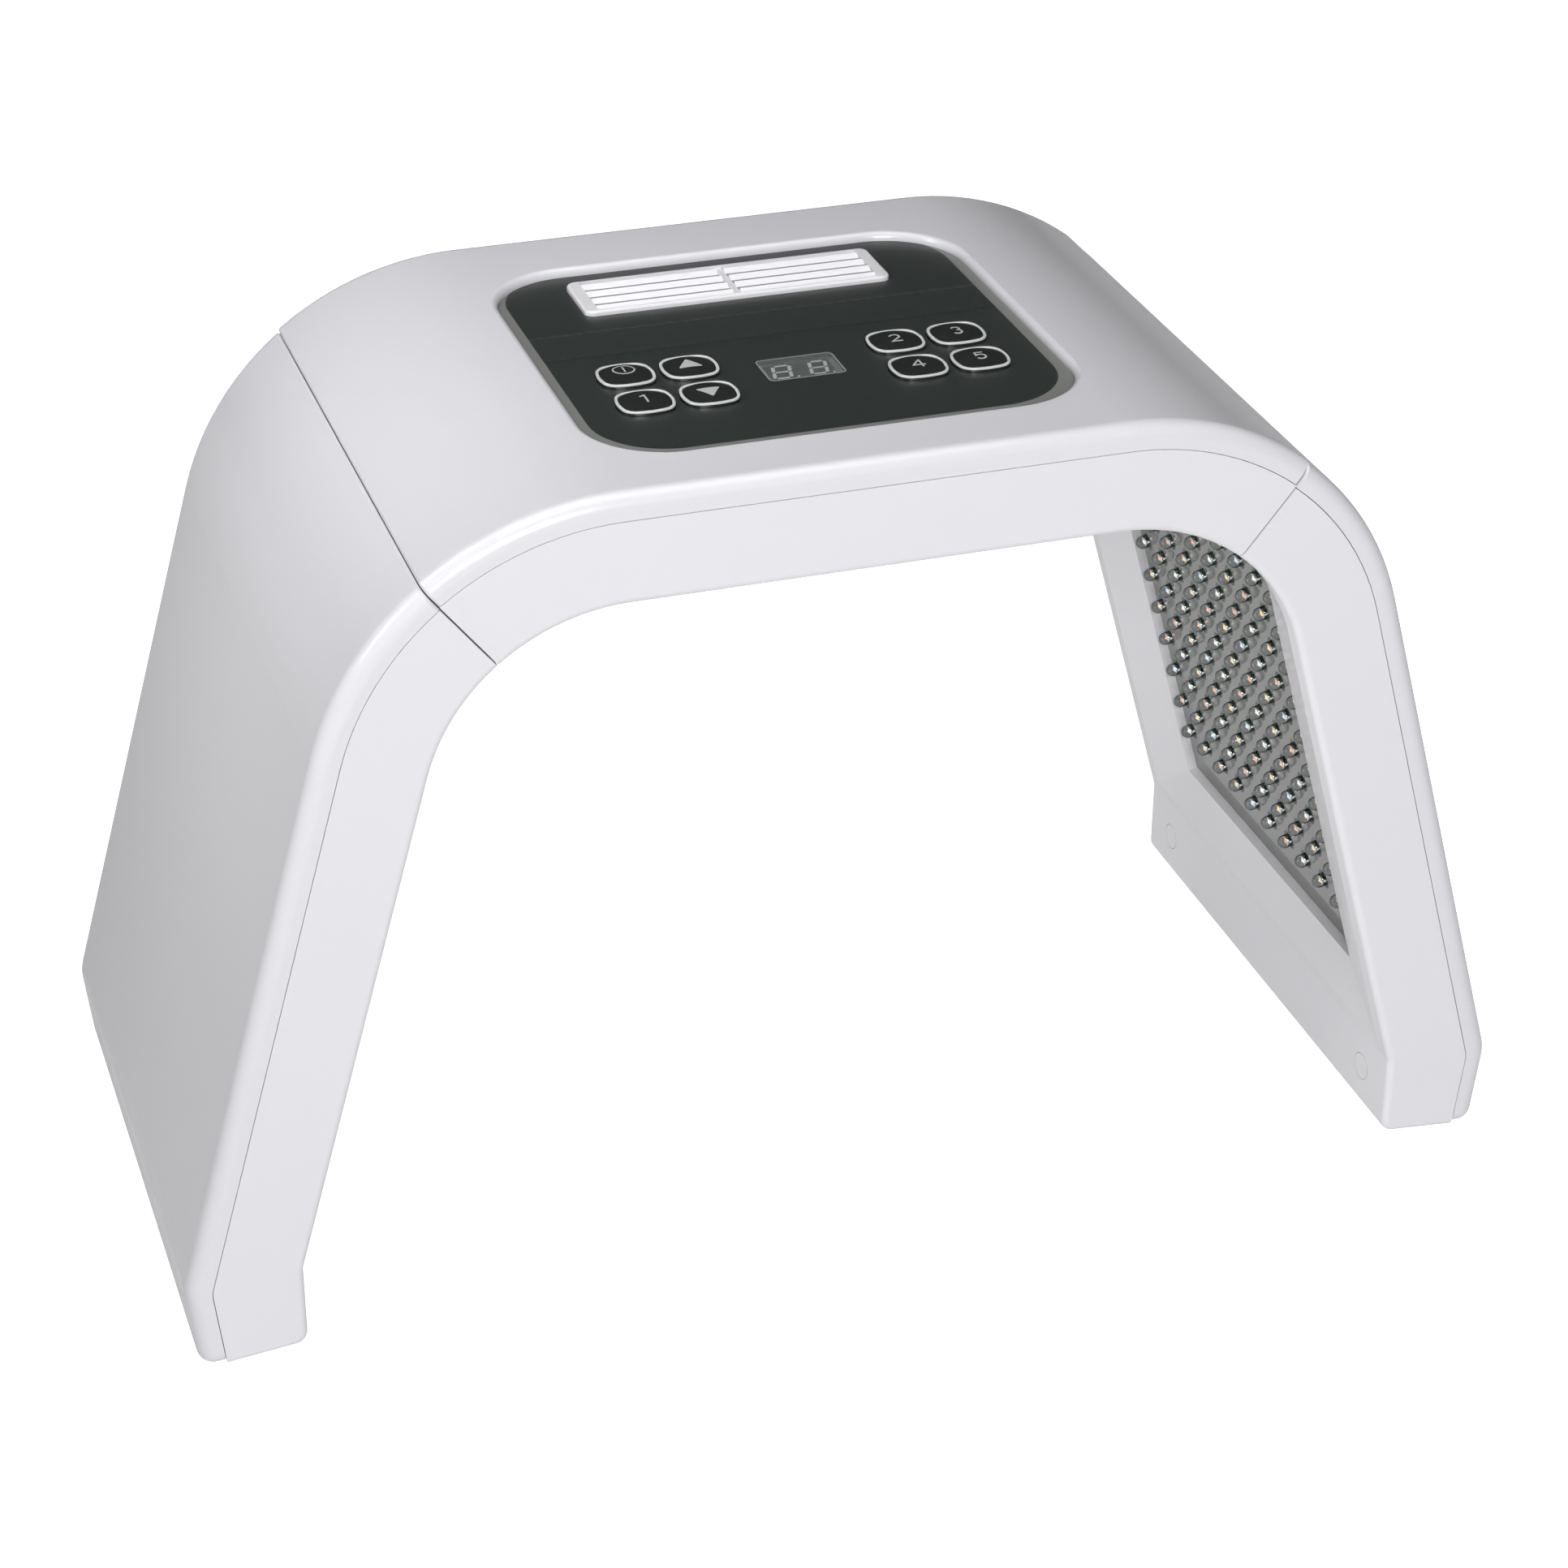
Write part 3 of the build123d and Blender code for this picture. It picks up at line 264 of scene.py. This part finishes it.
casing = {"grain": 0.012, "mottle": 0.06, "bump": 0.02}
bright_part = {"mottle": 0.05, "bump": 0.02, "coat": 0.2}
smoked_part = {"mottle": 0.1, "bump": 0.01}
shell_white = moulded("glossy white shell", (0.66, 0.655, 0.685), rough=0.22, coat=0.35, **casing)
tray_white = moulded("white inner tray", (0.68, 0.675, 0.70), rough=0.30, coat=0.25, **casing)
grille_white = moulded("white grille", (0.70, 0.695, 0.72), rough=0.32, grain=0.006, bump=0.03, coat=0.2)
plate_part = {"grain": 0.02, "mottle": 0.15, "bump": 0.01}
plate_grey = moulded("glossy lamp plate", (0.155, 0.162, 0.150), rough=0.07, **plate_part)
board_green = moulded("green circuit board", (0.02, 0.09, 0.04), rough=0.35, grain=0.001, bump=0.2)
black_moulding = moulded("black moulding", (0.012, 0.012, 0.013), rough=0.4, grain=0.0015, bump=0.15)
sheath_black = moulded("soft black sheath", (0.01, 0.01, 0.01), rough=0.6, grain=0.002, bump=0.1)
pad_grey = moulded("grey rubber pad", (0.10, 0.10, 0.105), rough=0.75, grain=0.0012, bump=0.3)
ring_silver = moulded("silver key ring", (0.60, 0.60, 0.61), rough=0.22, **bright_part)
key_part = {"grain": 0.003, "mottle": 0.2, "bump": 0.02, "coat": 0.5}
cap_black = moulded("glossy key cap", (0.018, 0.021, 0.020), rough=0.12, **key_part)
window_smoke = moulded("smoked display window", (0.15, 0.165, 0.16), rough=0.14, **smoked_part)
window_cover = 0.5
window_smoke.node_tree.nodes["Principled BSDF"].inputs["Alpha"].default_value = window_cover
print("moulded finishes:", len([m for m in bpy.data.materials if m.use_nodes]))

# %% [markdown]
# Screws, hinge leaves and pins are zinc plated steel. The metal gets fine streaks along one way, which
# only the roughness and the bump follow, as on drawn or turned parts.

# %% Plated steel
steel_colour = (0.56, 0.57, 0.58, 1)
streak_scale = (300.0, 4000.0, 300.0)
smoothest, streak_swing = 0.2, 0.25
streak_bump, streak_rise = 0.1, 0.0001


def plated_steel():
    material, tree, shader = new_material("zinc plated steel")
    shader.inputs["Base Color"].default_value = steel_colour
    shader.inputs["Metallic"].default_value = 1.0
    place = tree.nodes.new("ShaderNodeTexCoord")
    stretch = add(tree, "ShaderNodeMapping", Scale=streak_scale)
    streaks = add(tree, "ShaderNodeTexNoise", Scale=1.0, Detail=2.0)
    tree.links.new(place.outputs["Object"], stretch.inputs["Vector"])
    tree.links.new(stretch.outputs["Vector"], streaks.inputs["Vector"])
    swung = math_node(tree, "MULTIPLY", streaks.outputs["Fac"], streak_swing)
    tree.links.new(math_node(tree, "ADD", swung, smoothest), shader.inputs["Roughness"])
    raise_surface(tree, shader, streaks.outputs["Fac"], streak_bump, streak_rise)
    material.diffuse_color = steel_colour
    return material


steel = plated_steel()
print("steel streaks:", [round(1 / scale, 5) for scale in streak_scale], "m")


# %% Dress the nodes
def dress(material, *names):
    for name in names:
        mesh = nodes[name].data
        mesh.materials.clear()
        mesh.materials.append(material)


def on_wings(*parts):
    return [side + part for side in ("right_wing_", "left_wing_") for part in parts]


key_names = ("power", "up", "infrared", "down", "red", "green", "blue", "colour")
dress(shell_white, "centre_cover", *on_wings("cover"))
dress(tray_white, "centre_tray", *on_wings("tray", "screw_plugs"))
dress(grille_white, "vent_grille")
dress(plate_grey, "centre_lamp_plate", *on_wings("lamp_plate"))
dress(board_green, "centre_lamp_board", "control_board", "driver_board", *on_wings("lamp_board"))
dress(black_moulding, "display_module", "key_switches", "fan_housing", "fan_impeller", "power_jack")
dress(sheath_black, "jack_lead")
dress(pad_grey, *on_wings("foot_pads"))
dress(steel, "fan_screws", "board_screws", "centre_screws", "hinge_pins")
dress(steel, "centre_hinge_screws", "centre_hinge_leaves")
dress(steel, *on_wings("foot_screws", "hinge_screws", "hinge_leaves"))
dress(ring_silver, *(key + "_key_ring" for key in key_names))
dress(cap_black, *(key + "_key" for key in key_names))
dress(window_smoke, "display_window")
print("nodes with a finish:", sum(len(node.data.materials) > 0 for node in nodes.values()))

# %% [markdown]
# The floor is pale and matt. In the photograph the ground is cut out to pure white, so the floor glows
# where the camera looks at it. The arch itself only gets the light that falls on the floor and a faint
# glow, a little less from afar, which gives the glossy wings something to mirror.

# %% Floor finish
near_reach, far_reach, near_glow, far_glow = 0.45, 1.0, 0.25, 0.21
floor_dark, floor_light = (0.54, 0.54, 0.55, 1), (0.56, 0.56, 0.57, 1)
floor_roughness, floor_grain_scale = 0.7, 40.0


def studio_floor():
    material, tree, shader = new_material("pale studio floor")
    shader.inputs["Roughness"].default_value = floor_roughness
    place = tree.nodes.new("ShaderNodeTexCoord")
    grain = add(tree, "ShaderNodeTexNoise", Scale=floor_grain_scale)
    tree.links.new(place.outputs["Object"], grain.inputs["Vector"])
    colour = mix_colour(tree, grain.outputs["Fac"], floor_dark, floor_light)
    tree.links.new(colour, shader.inputs["Base Color"])
    distance = add(tree, "ShaderNodeVectorMath", operation="LENGTH")
    tree.links.new(place.outputs["Object"], distance.inputs[0])
    glow = add(tree, "ShaderNodeMapRange", interpolation_type="SMOOTHSTEP")
    tree.links.new(distance.outputs["Value"], glow.inputs["Value"])
    glow.inputs["From Min"].default_value = near_reach
    glow.inputs["From Max"].default_value = far_reach
    glow.inputs["To Min"].default_value = near_glow
    glow.inputs["To Max"].default_value = far_glow
    sight = tree.nodes.new("ShaderNodeLightPath")
    seen = math_node(tree, "MAXIMUM", glow.outputs["Result"], sight.outputs["Is Camera Ray"])
    shader.inputs["Emission Color"].default_value = (1, 1, 1, 1)
    tree.links.new(seen, shader.inputs["Emission Strength"])
    return material


floor.data.materials.append(studio_floor())
print("floor glow from", near_glow, "near the arch to", far_glow, "past", far_reach, "m")

# %% [markdown]
# ## The panel film
# The film on the top is printed: nearly black inside, and a grey border that shows round the front
# and the sides. A glossier band crosses it behind the keys. The band stands for a shallow recess in the
# film, and the thin lines along its edges are painted light and shade: a darker painted shade line along
# its front edge and a lighter painted highlight line along its rear edge, where the recess walls would
# be. All of it comes from one material, which works out where it is on the panel from the place of
# each point.

# %% Places on the panel
black_middle = (0.0010, 0.0017)
black_half, black_corner = (0.0802, 0.0760), 0.0262
# The two line spans are the band's edges: painted shade goes along the front one, a painted highlight along
# the rear one.
strip_span, front_shade_span, rear_light_span = (0.0045, 0.0250), (0.0040, 0.0049), (0.0242, 0.0252)
outline_sharpness, line_sharpness = 4000.0, 5000.0


def past_straight(tree, value, straight):
    reach = math_node(tree, "SUBTRACT", math_node(tree, "ABSOLUTE", value), straight)
    return math_node(tree, "MAXIMUM", reach, 0.0)


def inside_rounded_box(tree, across, along):
    past = [
        past_straight(tree, value, half - black_corner)
        for value, half in zip((across, along), black_half)
    ]
    squares = [math_node(tree, "MULTIPLY", value, value) for value in past]
    reach = math_node(tree, "SQRT", math_node(tree, "ADD", *squares))
    outside = math_node(tree, "SUBTRACT", reach, black_corner)
    outside = math_node(tree, "MULTIPLY", outside, outline_sharpness)
    return math_node(tree, "SUBTRACT", 0.5, outside, clamp=True)


def inside_band(tree, value, span):
    low, high = span
    past_low = math_node(tree, "SUBTRACT", value, low)
    short_of_high = math_node(tree, "SUBTRACT", high, value)
    above = math_node(tree, "MULTIPLY", past_low, line_sharpness, clamp=True)
    below = math_node(tree, "MULTIPLY", short_of_high, line_sharpness, clamp=True)
    return math_node(tree, "MULTIPLY", above, below)


print("strip across the panel:", strip_span, "m")

# %% Panel film
film_black, strip_black = (0.026, 0.031, 0.029, 1), (0.030, 0.035, 0.033, 1)
# Painted shade for the band's shaded front wall, and a painted highlight for its lit rear wall.
front_shade_black, rear_light_grey = (0.018, 0.021, 0.020, 1), (0.055, 0.062, 0.060, 1)
border_grey = (0.185, 0.19, 0.18, 1)
film_grain, film_mottle, film_roughness, strip_gloss = 0.0005, 0.15, 0.36, 0.14
film_bump, film_rise = 0.06, 0.0001


def panel_film():
    material, tree, shader = new_material("printed panel film")
    place = tree.nodes.new("ShaderNodeTexCoord")
    split = tree.nodes.new("ShaderNodeSeparateXYZ")
    tree.links.new(place.outputs["Object"], split.inputs["Vector"])
    x, y = split.outputs["X"], split.outputs["Y"]
    across = math_node(tree, "SUBTRACT", x, black_middle[0])
    along = math_node(tree, "SUBTRACT", y, black_middle[1])
    black = inside_rounded_box(tree, across, along)
    strip, front_shade, rear_light = (
        math_node(tree, "MULTIPLY", inside_band(tree, y, span), black)
        for span in (strip_span, front_shade_span, rear_light_span)
    )
    dark = mix_colour(tree, strip, film_black, strip_black)
    # Here the painted shade and painted highlight lines are laid along the band's edges.
    dark = mix_colour(tree, front_shade, dark, front_shade_black)
    dark = mix_colour(tree, rear_light, dark, rear_light_grey)
    tree.links.new(mix_colour(tree, black, border_grey, dark), shader.inputs["Base Color"])
    surface = add_surface(tree, film_grain, film_mottle)
    smoother = math_node(tree, "MULTIPLY", strip, strip_gloss)
    set_roughness(tree, shader, surface, math_node(tree, "SUBTRACT", film_roughness, smoother))
    raise_surface(tree, shader, surface.outputs["Height"], film_bump, film_rise)
    material.diffuse_color = strip_black
    return material


dress(panel_film(), "control_overlay")

# %% [markdown]
# ## Clear lamps
# Each lamp is a clear 5 mm dome with a small bright cup in it, and a coloured chip in the cup. In the
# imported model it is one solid. Real ones get their sparkle from light that bends through the dome, so
# the solids are replaced here by turned glass bodies with the cup and the chip inside them. One lamp
# is drawn as a turned profile and copied to every place into one mesh, which keeps the scene quick.
# The places follow the inside of the arch: straight up each wing, round a bend and along the top.

# %% Lamp places
splay = math.radians(15.64)
bend_x, bend_z, plate_bend, board_bend = 0.082307, 0.1941, 0.0792, 0.0833
inner_half, inner_crease, inner_top, wing_straight = 0.1998, 0.0337, 0.2640, 0.186136
board_depth, lamp_gap = 0.0134, 0.0001
lamp_pitch, centre_pitch, first_wing_row = 0.01495, 0.0146, 0.0458
column_count, wing_row_count, half_centre_row_count = 10, 13, 9


def arch_point(angle):
    out = Vector((math.cos(angle), 0, math.sin(angle)))
    return Vector((bend_x, 0, bend_z)) + out * board_bend, -out


def wing_lamp(run):
    if run > wing_straight:
        return arch_point(splay + (run - wing_straight) / plate_bend)
    along = Vector((-math.sin(splay), 0, math.cos(splay)))
    out = Vector((math.cos(splay), 0, math.sin(splay)))
    return Vector((inner_half, 0, inner_crease)) + along * run + out * board_depth, -out


def centre_lamp(run):
    if run > bend_x:
        return arch_point(math.pi / 2 - (run - bend_x) / plate_bend)
    return Vector((run, 0, inner_top + board_depth)), Vector((0, 0, -1))


def mirrored_rows(rows):
    return [(Vector((-p.x, p.y, p.z)), Vector((-d.x, d.y, d.z))) for p, d in rows]


columns = [(i - (column_count - 1) / 2) * lamp_pitch for i in range(column_count)]
wing_rows = [wing_lamp(first_wing_row + lamp_pitch * k) for k in range(wing_row_count)]
centre_rows = [centre_lamp(centre_pitch * (k + 0.5)) for k in range(half_centre_row_count)]
lamp_rows = {
    "centre": centre_rows + mirrored_rows(centre_rows),
    "right_wing": wing_rows,
    "left_wing": mirrored_rows(wing_rows),
}
print("lamps:", {body: len(rows) * len(columns) for body, rows in lamp_rows.items()})

# %% Turned shapes
dome_radius, lamp_height, flange_radius, flange_height = 0.0025, 0.0086, 0.0029, 0.001
dome_step = 15
cup_profile = [
    (0, 0.0030),
    (0.0007, 0.0030),
    (0.0007, 0.0042),
    (0.0014, 0.0054),
    (0.0012, 0.0054),
    (0.0005, 0.0045),
    (0, 0.0045),
]
post_profile = [(0, 0.0003), (0.0004, 0.0003), (0.0004, 0.0050), (0, 0.0050)]
chip_profile = [(0, 0.0047), (0.0007, 0.0047), (0.0009, 0.0052), (0.0006, 0.0057), (0, 0.0059)]
post_offset = (0.0012, 0, 0)
dome_facets, cup_facets, post_facets, chip_facets = 20, 12, 6, 8


def dome_profile():
    angles = [math.radians(step) for step in range(0, 90, dome_step)]
    dome_base = lamp_height - dome_radius
    curve = [(dome_radius * math.cos(a), dome_base + dome_radius * math.sin(a)) for a in angles]
    foot = [(0, 0), (flange_radius, 0), (flange_radius, flange_height), (dome_radius, flange_height)]
    return foot + curve + [(0, lamp_height)]


def ring_points(radius, height, facets):
    if radius == 0:
        return [Vector((0, 0, height))]
    angles = [2 * math.pi * i / facets for i in range(facets)]
    return [Vector((radius * math.cos(a), radius * math.sin(a), height)) for a in angles]


def turned(shape, profile, facets, place, material_index=0):
    rings = [
        [shape.verts.new(place @ point) for point in ring_points(radius, height, facets)]
        for radius, height in profile
    ]
    for low, high in zip(rings, rings[1:]):
        for i in range(facets):
            j = (i + 1) % facets
            corners = [low[i % len(low)], low[j % len(low)], high[j % len(high)], high[i % len(high)]]
            face = shape.faces.new(list(dict.fromkeys(corners)))
            face.smooth = True
            face.material_index = material_index


print("dome profile points:", len(dome_profile()))

# %% [markdown]
# The dome's glass has its index of refraction on the shader's own socket. The chips are orange, amber,
# blue and near white in a fixed order, because the real lamps glint in all of those colours. The chips
# also glow a little, though the lamps are off: a painted glint, emission that stands for the sparkle
# that a dome gathers from the whole room.

# %% Lamp materials
epoxy_tint, epoxy_roughness, epoxy_grain, epoxy_bending = (0.93, 0.95, 0.96, 1), 0.03, 0.0008, 1.36
# The chips' emission strength is a painted glint; the cup gets none.
glint_grain, chip_roughness, chip_painted_glint = 0.0003, 0.3, 0.5


def clear_epoxy():
    material, tree, shader = new_material("clear epoxy")
    set_roughness(tree, shader, add_surface(tree, epoxy_grain), epoxy_roughness)
    shader.inputs["Base Color"].default_value = epoxy_tint
    shader.inputs["Transmission Weight"].default_value = 1.0
    shader.inputs["IOR"].default_value = epoxy_bending
    return material


def glinting(name, colour, metallic, roughness=chip_roughness, sparkle=chip_painted_glint):
    material, tree, shader = new_material(name)
    surface = add_surface(tree, glint_grain)
    set_roughness(tree, shader, surface, roughness)
    set_colour(tree, shader, surface, colour)
    shader.inputs["Metallic"].default_value = metallic
    # This emission is a painted glint, not light that the lamp gives off.
    shader.inputs["Emission Color"].default_value = (*colour, 1)
    shader.inputs["Emission Strength"].default_value = sparkle
    return material


lamp_glass = clear_epoxy()
cup_silver = glinting("silvered lamp cup", (0.86, 0.87, 0.88), metallic=1.0, roughness=0.22, sparkle=0.0)
chip_finishes = [
    glinting("orange lamp chip", (0.95, 0.42, 0.20), metallic=0.3),
    glinting("blue lamp chip", (0.60, 0.78, 0.98), metallic=0.3),
    glinting("amber lamp chip", (0.98, 0.68, 0.25), metallic=0.3),
    glinting("white lamp chip", (0.97, 0.95, 0.86), metallic=0.2),
]
chip_order = (0, 3, 2, 1, 3, 2, 0)
row_step, column_step = 3, 2
print("chip colours:", len(chip_finishes))


# %% Lamps
def lamp_piece(name, body, shape, finishes):
    bmesh.ops.recalc_face_normals(shape, faces=shape.faces)
    mesh = bpy.data.meshes.new(name)
    shape.to_mesh(mesh)
    shape.free()
    for finish in finishes:
        mesh.materials.append(finish)
    piece = bpy.data.objects.new(name, mesh)
    scene.collection.objects.link(piece)
    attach(piece, body)
    return piece


def lamp_set(body, rows):
    glass, cups, chips = bmesh.new(), bmesh.new(), bmesh.new()
    outer = dome_profile()
    for row, (point, direction) in enumerate(rows):
        turn = direction.to_track_quat("Z", "Y").to_matrix().to_4x4()
        for column, y in enumerate(columns):
            place = Matrix.Translation(point + Vector((0, y, 0)) + direction * lamp_gap) @ turn
            chip = chip_order[(row_step * row + column_step * column) % len(chip_order)]
            turned(glass, outer, dome_facets, place)
            turned(cups, cup_profile, cup_facets, place)
            turned(cups, post_profile, post_facets, place @ Matrix.Translation(post_offset))
            turned(chips, chip_profile, chip_facets, place, material_index=chip)
    domes = lamp_piece(body + "_lamp_domes", body, glass, [lamp_glass])
    lamp_piece(body + "_lamp_cups", body, cups, [cup_silver])
    lamp_piece(body + "_lamp_chips", body, chips, chip_finishes)
    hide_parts(body + "_lamps")
    return domes


for body, rows in lamp_rows.items():
    packed_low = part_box(body + "_lamps")[0]
    domes = lamp_set(body, rows)
    reach = [min(v.co[i] for v in domes.data.vertices) - packed_low[i] for i in range(3)]
    print(body, "lamps reach", [round(v, 5) for v in reach], "from the packed ones")

# %% [markdown]
# ## Printed marks
# Key legends and display digits are thin printed shapes, drawn in millimetres round a middle. Each
# outline is filled, cut finer where its surface is domed, and laid on that surface by a function that
# gives the height at each point.


# %% Printed mark helpers
def middle_of(low, high):
    return Vector(((low[0] + high[0]) / 2, (low[1] + high[1]) / 2))


def placed(outlines, middle):
    return [
        [(middle.x + x * millimetre, middle.y + y * millimetre) for x, y in outline]
        for outline in outlines
    ]


def printed_mark(name, outlines, surface, thickness, material, body, cuts=0):
    shape = bmesh.new()
    for outline in outlines:
        shape.faces.new([shape.verts.new((x, y, 0)) for x, y in outline])
    bmesh.ops.triangulate(shape, faces=list(shape.faces))
    if cuts:
        bmesh.ops.subdivide_edges(shape, edges=list(shape.edges), cuts=cuts, use_grid_fill=True)
    grown = bmesh.ops.extrude_face_region(shape, geom=list(shape.faces))
    top = {item for item in grown["geom"] if isinstance(item, bmesh.types.BMVert)}
    for vertex in shape.verts:
        side = thickness if vertex in top else -thickness
        vertex.co.z = surface(vertex.co.x, vertex.co.y) + side
    bmesh.ops.recalc_face_normals(shape, faces=list(shape.faces))
    mesh = bpy.data.meshes.new(name)
    shape.to_mesh(mesh)
    shape.free()
    mesh.materials.append(material)
    piece = bpy.data.objects.new(name, mesh)
    scene.collection.objects.link(piece)
    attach(piece, body)
    return piece


bluntest_corner = 0.5


def ribbon(points, width):
    points = [Vector(p) for p in points]
    left_side, right_side = [], []
    for i, point in enumerate(points):
        before = (point - points[i - 1]).normalized() if i > 0 else (points[1] - point).normalized()
        after = (points[i + 1] - point).normalized() if i < len(points) - 1 else before
        half = (before + after).normalized()
        side = Vector((-half.y, half.x)) * (width / 2 / max(bluntest_corner, half.dot(after)))
        left_side.append(point + side)
        right_side.append(point - side)
    return [
        (left_side[i], left_side[i + 1], right_side[i + 1], right_side[i])
        for i in range(len(points) - 1)
    ]


def arc(cx, cy, radius, start, end, steps=12):
    angles = [math.radians(start + (end - start) * i / steps) for i in range(steps + 1)]
    return [(cx + radius * math.cos(a), cy + radius * math.sin(a)) for a in angles]


print("marks are drawn in units of", millimetre, "m")

# %% [markdown]
# Word legends are left off the keys. They carry plain numbers instead, next to the two arrows and the
# circle with a line that stands for power. Each number is a few strokes, with arcs for its round parts.

# %% Key legends
legend_grey = moulded("printed legend", (0.46, 0.46, 0.455), rough=0.35, grain=0.002, mottle=0.05, bump=0.0)
crown_rise, crown_radius = 0.30095, 0.04154
legend_thickness, legend_cuts = 0.00003, 2
number_scale, number_stroke = 1.2, 0.7
power_middle, power_radius, power_stroke, power_bar, power_steps = 2.4, 3.6, 0.55, (0.2, 4.6), 40
arrow_half_base, arrow_height, arrow_corner = 4.2, 6.7, 0.8
number_lines = {
    "1": [[(-1.1, 1.5), (0.3, 2.3), (0.3, -2.3)]],
    "2": [arc(0, 0.95, 1.35, 165, -35) + [(-1.45, -2.05), (1.5, -2.05)]],
    "3": [arc(0, 1.05, 1.15, 150, -85), arc(0, -0.95, 1.25, 85, -150)],
    "4": [[(1.9, -0.9), (-1.7, -0.9), (0.75, 2.3)], [(0.75, 2.55), (0.75, -2.3)]],
    "5": [[(1.35, 2.1), (-1.0, 2.1), (-1.2, 0.15)] + arc(-0.05, -0.75, 1.4, 125, -150)],
}
legend_plan = {"infrared": "1", "red": "2", "green": "3", "blue": "4", "colour": "5"}


def rounded_triangle(half_base, tall, corner, flip):
    corners = [(-half_base, -tall / 3), (half_base, -tall / 3), (0, 2 * tall / 3)]
    points = []
    for i, point in enumerate(corners):
        here, before, after = Vector(point), Vector(corners[i - 1]), Vector(corners[(i + 1) % 3])
        start = here + (before - here).normalized() * corner
        end = here + (after - here).normalized() * corner
        points += [start, (start + end) * 0.25 + here * 0.5, end]
    return [(p[0], p[1] * flip) for p in points]


def key_legend(key):
    if key in legend_plan:
        lines = number_lines[legend_plan[key]]
        lines = [[(number_scale * x, number_scale * y) for x, y in line] for line in lines]
        return [quad for line in lines for quad in ribbon(line, number_stroke)]
    if key == "power":
        circle = arc(0, power_middle, power_radius, 90, 450, power_steps)
        return ribbon(circle, power_stroke) + ribbon([(0, y) for y in power_bar], power_stroke)
    return [rounded_triangle(arrow_half_base, arrow_height, arrow_corner, 1 if key == "up" else -1)]


for key in key_names:
    middle = middle_of(*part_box(key + "_key_ring"))
    outlines = placed(key_legend(key), middle)

    def crown(x, y, middle=middle):
        fall = crown_radius**2 - (x - middle.x) ** 2 - (y - middle.y) ** 2
        return crown_rise - crown_radius + math.sqrt(fall)

    name = key + "_key_legend"
    printed_mark(name, outlines, crown, legend_thickness, legend_grey, key + "_key", cuts=legend_cuts)
print("legends:", len(key_names), "on crowns at", crown_rise)

# %% [markdown]
# The display isn't lit. Its two digits show as pale bars in a smoked window, each with its dot. The
# bars are drawn on the window's face, because they look just as crisp as its rim. Along and up a digit
# the places are shares of its width and height.

# %% Display digits
upright_spans, upright_half, tip = ((0.04, 0.47), (0.53, 0.96)), 0.11, 0.03
level_heights, level_half, level_start, level_shoulder = (0.0, 0.5, 1.0), 0.045, 0.1, 0.16
dot_place, dot_wide, dot_tall, dot_steps = 1.42, 0.09, 0.055, 12
digit_thickness, rim_thickness, face_clearance = 0.00002, 0.00003, 0.00001


def digit_bars(left_x, low_y, wide, tall, slant):
    def at(u, v):
        return (left_x + wide * u + slant * v, low_y + tall * v)

    bars = []
    for low, high in upright_spans:
        for u in (0.0, 1.0):
            left, right = u - upright_half, u + upright_half
            lower = [at(left, low + tip), at(u, low), at(right, low + tip)]
            upper = [at(right, high - tip), at(u, high), at(left, high - tip)]
            bars.append(lower + upper)
    for v in level_heights:
        start, end = level_start, 1 - level_start
        shoulders = (level_shoulder, 1 - level_shoulder)
        under = [at(u, v - level_half) for u in shoulders]
        over = [at(u, v + level_half) for u in reversed(shoulders)]
        bars.append([at(start, v)] + under + [at(end, v)] + over)
    turn = [2 * math.pi * i / dot_steps for i in range(dot_steps)]
    bars.append([at(dot_place + dot_wide * math.cos(a), dot_tall * math.sin(a)) for a in turn])
    return bars


def window_face(x, y):
    return window_high[2] + face_clearance


window_low, window_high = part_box("display_window")
window_middle = middle_of(window_low, window_high)
left_digit = digit_bars(left_x=-11.2, low_y=-7.3, wide=5.7, tall=9.7, slant=2.0)
right_digit = digit_bars(left_x=1.7, low_y=-7.1, wide=5.4, tall=9.7, slant=1.9)
bars = placed(left_digit + right_digit, window_middle)
unlit_grey = moulded("unlit display bars", (0.36, 0.365, 0.35), rough=0.4, grain=0.0005, bump=0.0)
printed_mark("display_digits", bars, window_face, digit_thickness, unlit_grey, "centre")
print("display bars:", len(bars))

# %% Display rim, a painted highlight
# The rim is a painted highlight: a pale line on the window's face that stands for the light caught by the
# window's bevelled edge.
rim_highlight_finish = {"grain": 0.002, "mottle": 0.05, "bump": 0.0, "coat": 0.3}
rim_highlight_grey = moulded("painted window rim highlight", (0.30, 0.315, 0.31), rough=0.2, **rim_highlight_finish)
rim_inset, rim_corner, rim_width, corner_steps = 0.25, 1.8, 0.45, 6


def rounded_outline(half_x, half_y, corner):
    points = []
    for sx, sy, start in ((1, 1, 0), (-1, 1, 90), (-1, -1, 180), (1, -1, 270)):
        centre_x, centre_y = sx * (half_x - corner), sy * (half_y - corner)
        points += arc(centre_x, centre_y, corner, start, start + 90, corner_steps)
    return points + points[:1]


half_x, half_y = ((window_high[i] - window_low[i]) / 2 / millimetre for i in (0, 1))
rim = ribbon(rounded_outline(half_x - rim_inset, half_y - rim_inset, rim_corner), rim_width)
rim = placed(rim, window_middle)
printed_mark("display_rim_highlight", rim, window_face, rim_thickness, rim_highlight_grey, "centre")
print("display rim round", round(2 * half_x, 1), "x", round(2 * half_y, 1), "mm")
